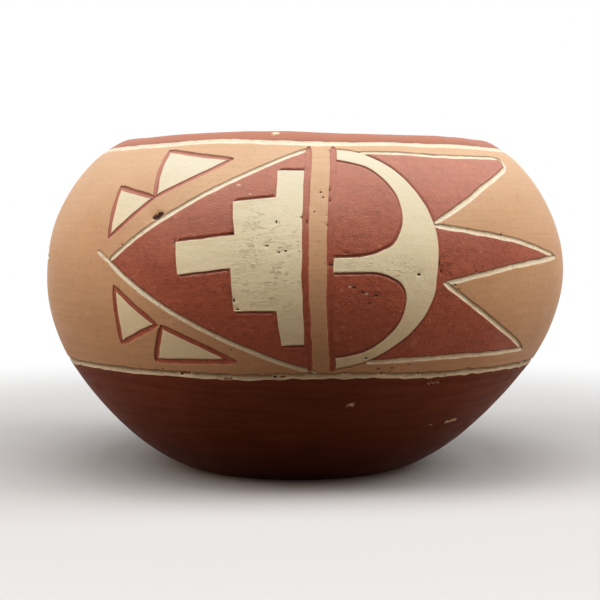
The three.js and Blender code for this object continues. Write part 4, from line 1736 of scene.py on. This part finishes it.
@dataclass
class Palette:
    """The finishes of the bowl."""

    # The colours and shares that pale upward faces also paint sheen there; the edge colours paint shade in
    # cuts and along lines, besides their grime.
    finishes: tuple[SlipFinish, ...] = (
        SlipFinish("red_slip", (141, 78, 57), (103, 53, 40), (182, 112, 88), edge=(84, 38, 26),
                   roughness=0.44, gloss=0.02, streak_share=0.45, mottle_share=0.1, worn_share=0.1,
                   speck_share=0.12, lip_wear_and_sheen_share=0.9, foot_darkening_share=0.6, dust_and_sheen_share=0.1, grain=0.03,
                   nick=(255, 232, 200)),
        SlipFinish("bare_clay", (196, 158, 122), (168, 128, 96), (210, 176, 144), roughness=0.75, gloss=0.15,
                   dust_and_sheen_share=0.0),
        SlipFinish("tan_slip", (214, 168, 126), (190, 142, 102), (230, 192, 154), edge=(116, 88, 58),
                   edge_dirt_and_shade_share=0.5, streaks=(30.0, 30.0, 1100.0), mottle_share=0.2, streak_share=0.28,
                   speck_share=0.25, gloss=0.2, dust_and_sheen_share=0.3, dust_and_sheen=(237, 217, 190), grain=0.05),
        SlipFinish("red_fill", (172, 88, 60), (128, 58, 38), (214, 146, 118), edge=(92, 42, 30),
                   edge_dirt_and_shade_share=0.75, mottle_share=0.5, speck_share=0.4, gloss=0.25, dust_and_sheen_share=0.33,
                   dust_and_sheen=(246, 202, 182), grain=0.2, crackle=1.5, crack=(84, 36, 24)),
        SlipFinish("cream_fill", (252, 239, 200), (242, 224, 174), (250, 244, 222), edge=(150, 96, 70),
                   edge_dirt_and_shade_share=0.12, streak_share=0.15, roughness=0.65, gloss=0.1, grain=0.1, crackle=2.0,
                   crack=(140, 118, 80), mottle_share=0.2, speck_share=0.1, dust_and_sheen_share=0.6,
                   dust_and_sheen=(216, 214, 204)),
        SlipFinish("white_line", (251, 241, 212), (236, 210, 168), (206, 162, 114), edge=(126, 98, 62),
                   edge_dirt_and_shade_share=0.75, roughness=0.65, gloss=0.15, grain=0.2, mottle_share=0.45,
                   worn_share=0.5, speck_share=0.4, dust_and_sheen_share=0.5, dust_and_sheen=(226, 221, 206),
                   nick=(150, 104, 66)),
        SlipFinish("red_line", (170, 88, 62), (130, 60, 40), (200, 132, 108), edge=(96, 44, 30),
                   edge_dirt_and_shade_share=0.6, mottle_share=0.5, speck_share=0.45, gloss=0.25, dust_and_sheen_share=0.3,
                   dust_and_sheen=(246, 202, 182), grain=0.14),
    )

    def materials(self) -> dict[str, bpy.types.Material]:
        """Make every material, by slot."""
        return {finish.slot: finish.material() for finish in self.finishes}


@dataclass(frozen=True)
class SoftLight:
    """A square soft box that looks at the bowl.

    Attributes:
        name: What it is called.
        aim: Degrees round the bowl from the front, and degrees up.
        distance: How far off it hangs.
        width: Its width.
        level: How brightly it lights a surface that faces it: 1 shows a colour as it is written.
        tint: Its colour.
    """

    name: str
    aim: tuple[float, float]
    distance: float
    width: float
    level: float
    tint: Triple = (1.0, 1.0, 1.0)

    def build(self, target: Vector) -> None:
        """Hang it, looking at a point."""
        turn, rise = (math.radians(angle) for angle in self.aim)
        toward = Vector((math.sin(turn) * math.cos(rise), -math.cos(turn) * math.cos(rise), math.sin(rise)))
        distance = self.distance * MILLIMETRE
        lamp = bpy.data.lights.new(self.name, "AREA")
        lamp.shape = "SQUARE"
        lamp.size = self.width * MILLIMETRE
        lamp.color = self.tint
        lamp.energy = self.level * (math.pi * distance) ** 2
        light = bpy.data.objects.new(self.name, lamp)
        bpy.context.scene.collection.objects.link(light)
        light.location = target + toward * distance
        light.rotation_euler = (-toward).to_track_quat("-Z", "Y").to_euler()


@dataclass
class Studio:
    """The floor, the soft lights and the camera.

    Attributes:
        camera_height: The lens's height.
        camera_distance: Its distance from the bowl's axis.
        camera_left: How far it stands to the left.
        tilt: How far it looks down, in degrees.
        lens: Its focal length.
        sensor: How wide its sensor is.
        near: How near it starts to see.
        lights: The soft boxes.
        target_height: The height that they look at.
        fill: Strength of the even light from all round.
        floor_reach: Half the floor's width.
        shade_reach: How far from the bowl's axis the floor still shows a shadow.
        white_reach: How far off the floor is as white as what lies behind.
        paper: The floor's colour.
        bounce: The colour of the light that it throws back up.
        white: The white behind.
    """

    camera_height: float = 90.85
    camera_distance: float = 540.0
    camera_left: float = 0.64
    tilt: float = 3.15
    lens: float = 86.2
    sensor: float = 36.0
    near: float = 10.0
    lights: tuple[SoftLight, ...] = (
        SoftLight("top_light", (0.0, 74.0), 1000.0, 800.0, 0.635),
        SoftLight("left_light", (-60.0, 45.0), 1000.0, 600.0, 0.39),
        SoftLight("right_light", (78.0, 42.0), 1000.0, 600.0, 0.515),
        SoftLight("left_low_light", (-75.0, 14.0), 1000.0, 500.0, 0.25, (1.0, 0.72, 0.55)),
        SoftLight("right_low_light", (72.0, 14.0), 1000.0, 500.0, 0.19, (1.0, 0.72, 0.55)),
    )
    target_height: float = 70.0
    fill: float = 0.06
    floor_reach: float = 6000.0
    shade_reach: float = 150.0
    white_reach: float = 420.0
    paper: Colour = (214, 214, 214)
    bounce: Colour = (96, 78, 66)
    white: ShaderColour = (1.0, 1.0, 1.0, 1.0)

    def build(self) -> None:
        """Set up the floor, the lights, the world and the camera."""
        self.floor()
        for light in self.lights:
            light.build(Vector((0.0, 0.0, self.target_height * MILLIMETRE)))
        self.world()
        self.camera()

    def floor(self) -> None:
        """Lay a pale floor that throws little light back up, and turns white further off."""
        reach = self.floor_reach * MILLIMETRE
        mesh = bpy.data.meshes.new("floor")
        corners = [(-reach, -reach, 0.0), (reach, -reach, 0.0), (reach, reach, 0.0), (-reach, reach, 0.0)]
        mesh.from_pydata(corners, [], [(0, 1, 2, 3)])
        floor = bpy.data.objects.new("floor", mesh)
        bpy.context.scene.collection.objects.link(floor)
        bench = Bench("floor_paper")
        path = bench.add("ShaderNodeLightPath").outputs
        mirrored = bench.add("ShaderNodeMath", {0: path["Is Glossy Ray"], 1: path["Is Transmission Ray"]},
                             operation="MAXIMUM").outputs[0]
        seen = bench.add("ShaderNodeMath", {0: path["Is Camera Ray"], 1: mirrored},
                         operation="MAXIMUM").outputs[0]
        colour = bench.blend(seen, linear(self.bounce), linear(self.paper))
        paper = bench.add("ShaderNodeBsdfDiffuse", {"Color": colour})
        white = bench.add("ShaderNodeEmission", {"Color": self.white, "Strength": 1.0})
        away = bench.add("ShaderNodeVectorMath", {0: bench.place}, operation="LENGTH").outputs["Value"]
        far = bench.ramp(away, (self.shade_reach * MILLIMETRE, self.white_reach * MILLIMETRE))
        shader = bench.add("ShaderNodeMixShader", {0: bench.times(far, seen), 1: paper.outputs[0],
                                                   2: white.outputs[0]})
        bench.tree.links.new(shader.outputs[0], bench.output.inputs["Surface"])
        mesh.materials.append(bench.material)

    def world(self) -> None:
        """Show white behind, and light evenly from all round."""
        world = bpy.data.worlds.new("studio")
        bpy.context.scene.world = world
        world.use_nodes = True
        tree = world.node_tree
        tree.nodes.clear()
        path = tree.nodes.new("ShaderNodeLightPath").outputs
        seen = path["Is Camera Ray"]
        for kind in ("Is Glossy Ray", "Is Transmission Ray"):
            either = tree.nodes.new("ShaderNodeMath")
            either.operation = "MAXIMUM"
            tree.links.new(seen, either.inputs[0])
            tree.links.new(path[kind], either.inputs[1])
            seen = either.outputs[0]
        strength = tree.nodes.new("ShaderNodeMapRange")
        strength.inputs["To Min"].default_value = self.fill
        strength.inputs["To Max"].default_value = 1.0
        tree.links.new(seen, strength.inputs["Value"])
        background = tree.nodes.new("ShaderNodeBackground")
        background.inputs["Color"].default_value = self.white
        tree.links.new(strength.outputs[0], background.inputs["Strength"])
        output = tree.nodes.new("ShaderNodeOutputWorld")
        tree.links.new(background.outputs[0], output.inputs["Surface"])

    def camera(self) -> None:
        """Set the camera where the photograph was taken from."""
        data = bpy.data.cameras.new("camera")
        data.lens = self.lens
        data.sensor_width = self.sensor
        data.clip_start = self.near * MILLIMETRE
        camera = bpy.data.objects.new("camera", data)
        bpy.context.scene.collection.objects.link(camera)
        camera.location = Vector((-self.camera_left, -self.camera_distance, self.camera_height)) * MILLIMETRE
        camera.rotation_euler = (math.radians(90.0 - self.tilt), 0.0, 0.0)
        bpy.context.scene.camera = camera
        bpy.context.scene.view_settings.view_transform = "Standard"


@dataclass
class Wear:
    """Pits, nicks and crazing: in front as the photograph shows them, and guessed crazing elsewhere.

    Attributes:
        pits: Dark holes in the slip.
        nicks: Chips and scuffs that show the clay.
        crazing: Where the slip is crazed.
    """

    pits: tuple[Spot, ...] = (
        Spot((-31.1, 92.1), (1.8, 1.1), 0.9),
        Spot((-30.2, 93.1), (1.5, 0.9), 0.7),
        Spot((22.8, 74.0), (0.75, 0.45), 0.6),
        Spot((31.2, 70.4), (0.5, 0.45), 0.4, 0.9),
        Spot((32.2, 69.0), (0.9, 0.35), 0.2, 0.6),
        Spot((44.3, 86.4), (0.7, 0.4), 0.4, 0.8),
        Spot((36.3, 74.5), (0.45, 0.4), 0.3, 0.7),
        Spot((27.2, 77.6), (0.4, 0.9), 0.3, 0.7),
        Spot((27.7, 74.8), (0.45, 1.2), 0.3, 0.6),
        Spot((-3.2, 81.6), (0.45, 0.4), 0.4, 0.8),
        Spot((-4.5, 81.2), (0.7, 0.35), 0.3, 0.7),
        Spot((-6.9, 83.2), (1.0, 0.4), 0.3, 0.6),
        Spot((-5.3, 90.8), (0.45, 0.75), 0.3, 0.7),
        Spot((-12.9, 66.0), (0.45, 0.75), 0.3, 0.7),
        Spot((-12.2, 63.2), (0.7, 0.4), 0.3, 0.7),
        Spot((-13.9, 87.0), (0.75, 0.4), 0.3, 0.6),
        Spot((-38.6, 83.2), (0.7, 0.45), 0.3, 0.5),
        Spot((3.4, 100.2), (0.6, 0.45), 0.3, 0.7),
        Spot((3.9, 98.5), (0.6, 0.6), 0.2, 0.6),
        Spot((5.3, 101.0), (0.4, 0.5), 0.3, 0.6),
        Spot((5.3, 97.6), (0.4, 0.5), 0.3, 0.6),
        Spot((2.1, 93.9), (0.6, 0.45), 0.2, 0.6),
        Spot((4.5, 92.6), (0.45, 0.4), 0.2, 0.5),
        Spot((4.6, 89.6), (0.4, 0.7), 0.3, 0.6),
        Spot((-0.4, 92.2), (0.5, 0.5), 0.3, 0.7),
        Spot((0.7, 90.8), (0.4, 0.75), 0.3, 0.6),
        Spot((5.4, 77.2), (1.1, 0.45), 0.3, 0.7),
        Spot((8.4, 80.9), (1.65, 0.35), 0.2, 0.6),
        Spot((-26.2, 41.3), (0.75, 0.4), 0.4, 0.9),
        Spot((-24.4, 41.6), (0.5, 0.45), 0.4, 0.9),
        Spot((-5.2, 41.0), (0.9, 0.4), 0.3, 0.8),
        Spot((16.6, 43.9), (1.5, 0.35), 0.1, 0.6),
        Spot((19.5, 44.0), (1.0, 0.35), 0.1, 0.6),
        Spot((23.4, 44.8), (1.35, 0.35), 0.1, 0.6),
        Spot((26.6, 41.4), (0.7, 0.5), 0.3, 0.8),
        Spot((-36.7, 43.4), (0.7, 0.35), 0.1, 0.6),
        Spot((-30.5, 42.9), (0.9, 0.35), 0.1, 0.6),
        Spot((-14.0, 50.0), (0.4, 0.4), 0.2, 0.7),
        Spot((13.4, 47.6), (0.7, 0.4), 0.2, 0.7),
        Spot((9.8, 70.2), (1.0, 0.5), 0.2, 0.7),
        Spot((11.6, 68.6), (0.7, 0.6), 0.2, 0.8),
        Spot((14.2, 67.6), (1.2, 0.4), 0.2, 0.7),
        Spot((13.0, 65.2), (0.8, 0.5), 0.2, 0.6),
    )
    nicks: tuple[Spot, ...] = (
        Spot((12.5, 31.5), (0.9, 0.9), 0.3, 0.0, 1.0),
        Spot((45.4, 22.3), (1.1, 0.8), 0.2, 0.0, 0.9),
        Spot((48.6, 22.6), (0.8, 0.7), 0.1, 0.0, 0.9),
        Spot((38.6, 22.0), (1.1, 0.5), 0.1, 0.0, 0.5),
        Spot((31.5, 37.8), (5.0, 0.7), 0.1, 0.0, 0.45),
        Spot((-8.0, 119.2), (0.9, 0.7), 0.0, 0.0, 1.0),
        Spot((-25.6, 41.9), (1.8, 0.8), 0.2, 0.0, 0.8),
        Spot((-15.4, 40.1), (2.2, 0.6), 0.2, 0.0, 0.6),
        Spot((-7.9, 42.2), (1.2, 0.5), 0.2, 0.0, 0.6),
        Spot((-3.5, 41.1), (1.4, 0.6), 0.2, 0.0, 0.7),
        Spot((1.8, 42.6), (1.8, 0.6), 0.2, 0.0, 0.8),
        Spot((9.6, 42.6), (1.3, 0.6), 0.2, 0.0, 0.6),
        Spot((18.1, 42.4), (2.4, 0.6), 0.2, 0.0, 0.8),
        Spot((26.7, 41.7), (1.6, 0.5), 0.2, 0.0, 0.6),
        Spot((9.2, 70.4), (1.2, 0.5), 0.1, 0.0, 0.6),
        Spot((12.3, 68.2), (0.8, 0.7), 0.1, 0.0, 0.6),
        Spot((10.8, 79.3), (1.4, 0.4), 0.1, 0.0, 0.45),
        Spot((-14.0, 102.4), (1.0, 0.5), 0.1, 0.0, 0.7),
        Spot((-11.2, 99.6), (0.7, 0.4), 0.1, 0.0, 0.5),
        Spot((44.0, 104.0), (0.5, 0.4), 0.1, 0.0, 0.6),
        Spot((-25.6, 83.5), (0.7, 0.6), 0.1, 0.0, 0.5),
    )
    crazing: tuple[Spot, ...] = (
        Spot((-6.0, 78.0), (13.0, 17.0), 0.0, 0.0, 0.0, 1.0),
        Spot((-8.0, 92.0), (10.0, 8.0), 0.0, 0.0, 0.0, 0.6),
        Spot((15.0, 76.5), (14.0, 6.0), 0.0, 0.0, 0.0, 0.7),
        Spot((10.5, 68.5), (8.0, 7.0), 0.0, 0.0, 0.0, 1.0),
        Spot((28.5, 74.0), (3.0, 9.0), 0.0, 0.0, 0.0, 1.0),
        Spot((-16.0, 71.0), (6.0, 4.0), 0.0, 0.0, 0.0, 0.7),
        Spot((-133.0, 84.0), (11.0, 18.0), 0.0, 0.0, 0.0, 0.9),
        Spot((-108.0, 72.0), (8.0, 12.0), 0.0, 0.0, 0.0, 0.7),
        Spot((118.0, 70.0), (12.0, 14.0), 0.0, 0.0, 0.0, 0.9),
        Spot((142.0, 88.0), (8.0, 12.0), 0.0, 0.0, 0.0, 0.6),
    )


@dataclass(frozen=True)
class Ring:
    """A white line that runs all the way round, a little off level in front.

    Attributes:
        piece: The piece that it belongs to.
        height: Its usual height.
        seed: Chooses how it wavers.
        offsets: Degrees round the bowl, and how far it lies above its usual height there.
        width: Its width.
        depth: How deep it is cut.
        tilt: How much deeper its upper side lies than its middle.
        swell: The share by which its width varies.
        dirt_and_shade: Width over which its edge of grime and painted shade fades, or 0 for clean edges.
        spans: How many spans it is drawn with.
    """

    piece: str
    height: float
    seed: int
    offsets: tuple[Place, ...]
    width: float
    tilt: float
    swell: float
    dirt_and_shade: float
    depth: float = 0.35
    spans: int = 360

    def stroke(self, surface: Surface, left: float, right: float) -> Stroke:
        """Draw it from one upright edge of the drawing to the other."""
        across = np.linspace(left, right, self.spans + 1)
        rise = lift(self.offsets, np.degrees(across / surface.section.belly_radius))
        path = np.column_stack([across, surface.section.outside_run(self.height + rise)])
        return Stroke(self.piece, Layer.RING, path, self.width, self.depth, self.seed, ring=True,
                      tilt=self.tilt, swell=self.swell, dirt_and_shade=self.dirt_and_shade)


RINGS = (
    Ring("waist_white_line", 40.6, 31, (
        (-90.0, 0.0), (-55.0, 0.7), (-40.0, 0.8), (-28.0, 0.9), (-20.0, 0.5), (-12.0, 0.2), (-4.0, 0.6),
        (3.0, 1.1), (14.0, 1.2), (22.0, 0.6), (29.0, 0.1), (43.0, 0.5), (55.0, 0.1), (90.0, 0.0)),
         width=2.25, tilt=0.15, swell=0.22, dirt_and_shade=1.0),
    Ring("collar_white_line", 115.9, 37, (
        (-90.0, 0.0), (-40.0, 0.4), (-32.0, 0.7), (-22.0, 0.85), (-12.0, 0.35), (0.0, 0.1), (28.0, 0.2),
        (48.0, 0.45), (90.0, 0.0)),
         width=2.3, tilt=0.0, swell=0.1, dirt_and_shade=0.0),
)


SIDE_PANEL_WIDTH = 0.805
PANELS = (
    Panel("front", middle=PanelDrawing.bar_middle, width=1.0, seed=1000),
    Panel("left", middle=-124.9, width=SIDE_PANEL_WIDTH, seed=2000),
    Panel("right", middle=125.5, width=SIDE_PANEL_WIDTH, seed=3000),
)


def main() -> None:
    """Build the bowl and its studio."""
    logging.basicConfig(level=logging.INFO, format="%(message)s")
    low, high = cad_box
    section = Section(height=high.z / MILLIMETRE, belly_radius=(high.x - low.x) / 2.0 / MILLIMETRE)
    surface = Surface(section)
    left = math.radians(Sheet.seam) * section.belly_radius
    right = left + 2.0 * math.pi * section.belly_radius
    strokes = [ring.stroke(surface, left, right) for ring in RINGS]
    fields: list[Field] = []
    for panel in PANELS:
        strokes += panel.strokes(surface)
        fields += panel.fields(surface)
    wear = Wear()
    sheet = Sheet(surface, strokes, fields, [*wear.pits, *wear.nicks, *wear.crazing])
    materials = Palette().materials()
    slots = {part["node"]: part["material_slot"] for part in frame["record"]["subparts"]}
    inlays = Inlays(sheet)
    shells = Vessel(sheet).build()
    for piece in sorted(set(sheet.owner)):
        if piece not in shells:
            shells[piece] = inlays.build(piece)
    for node, shell in shells.items():
        shell.make(node, materials[slots[node]], slots[node])
        LOG.info("%s: %d points", node, shell.count)
    Studio().build()


if __name__ == "__main__":
    main()
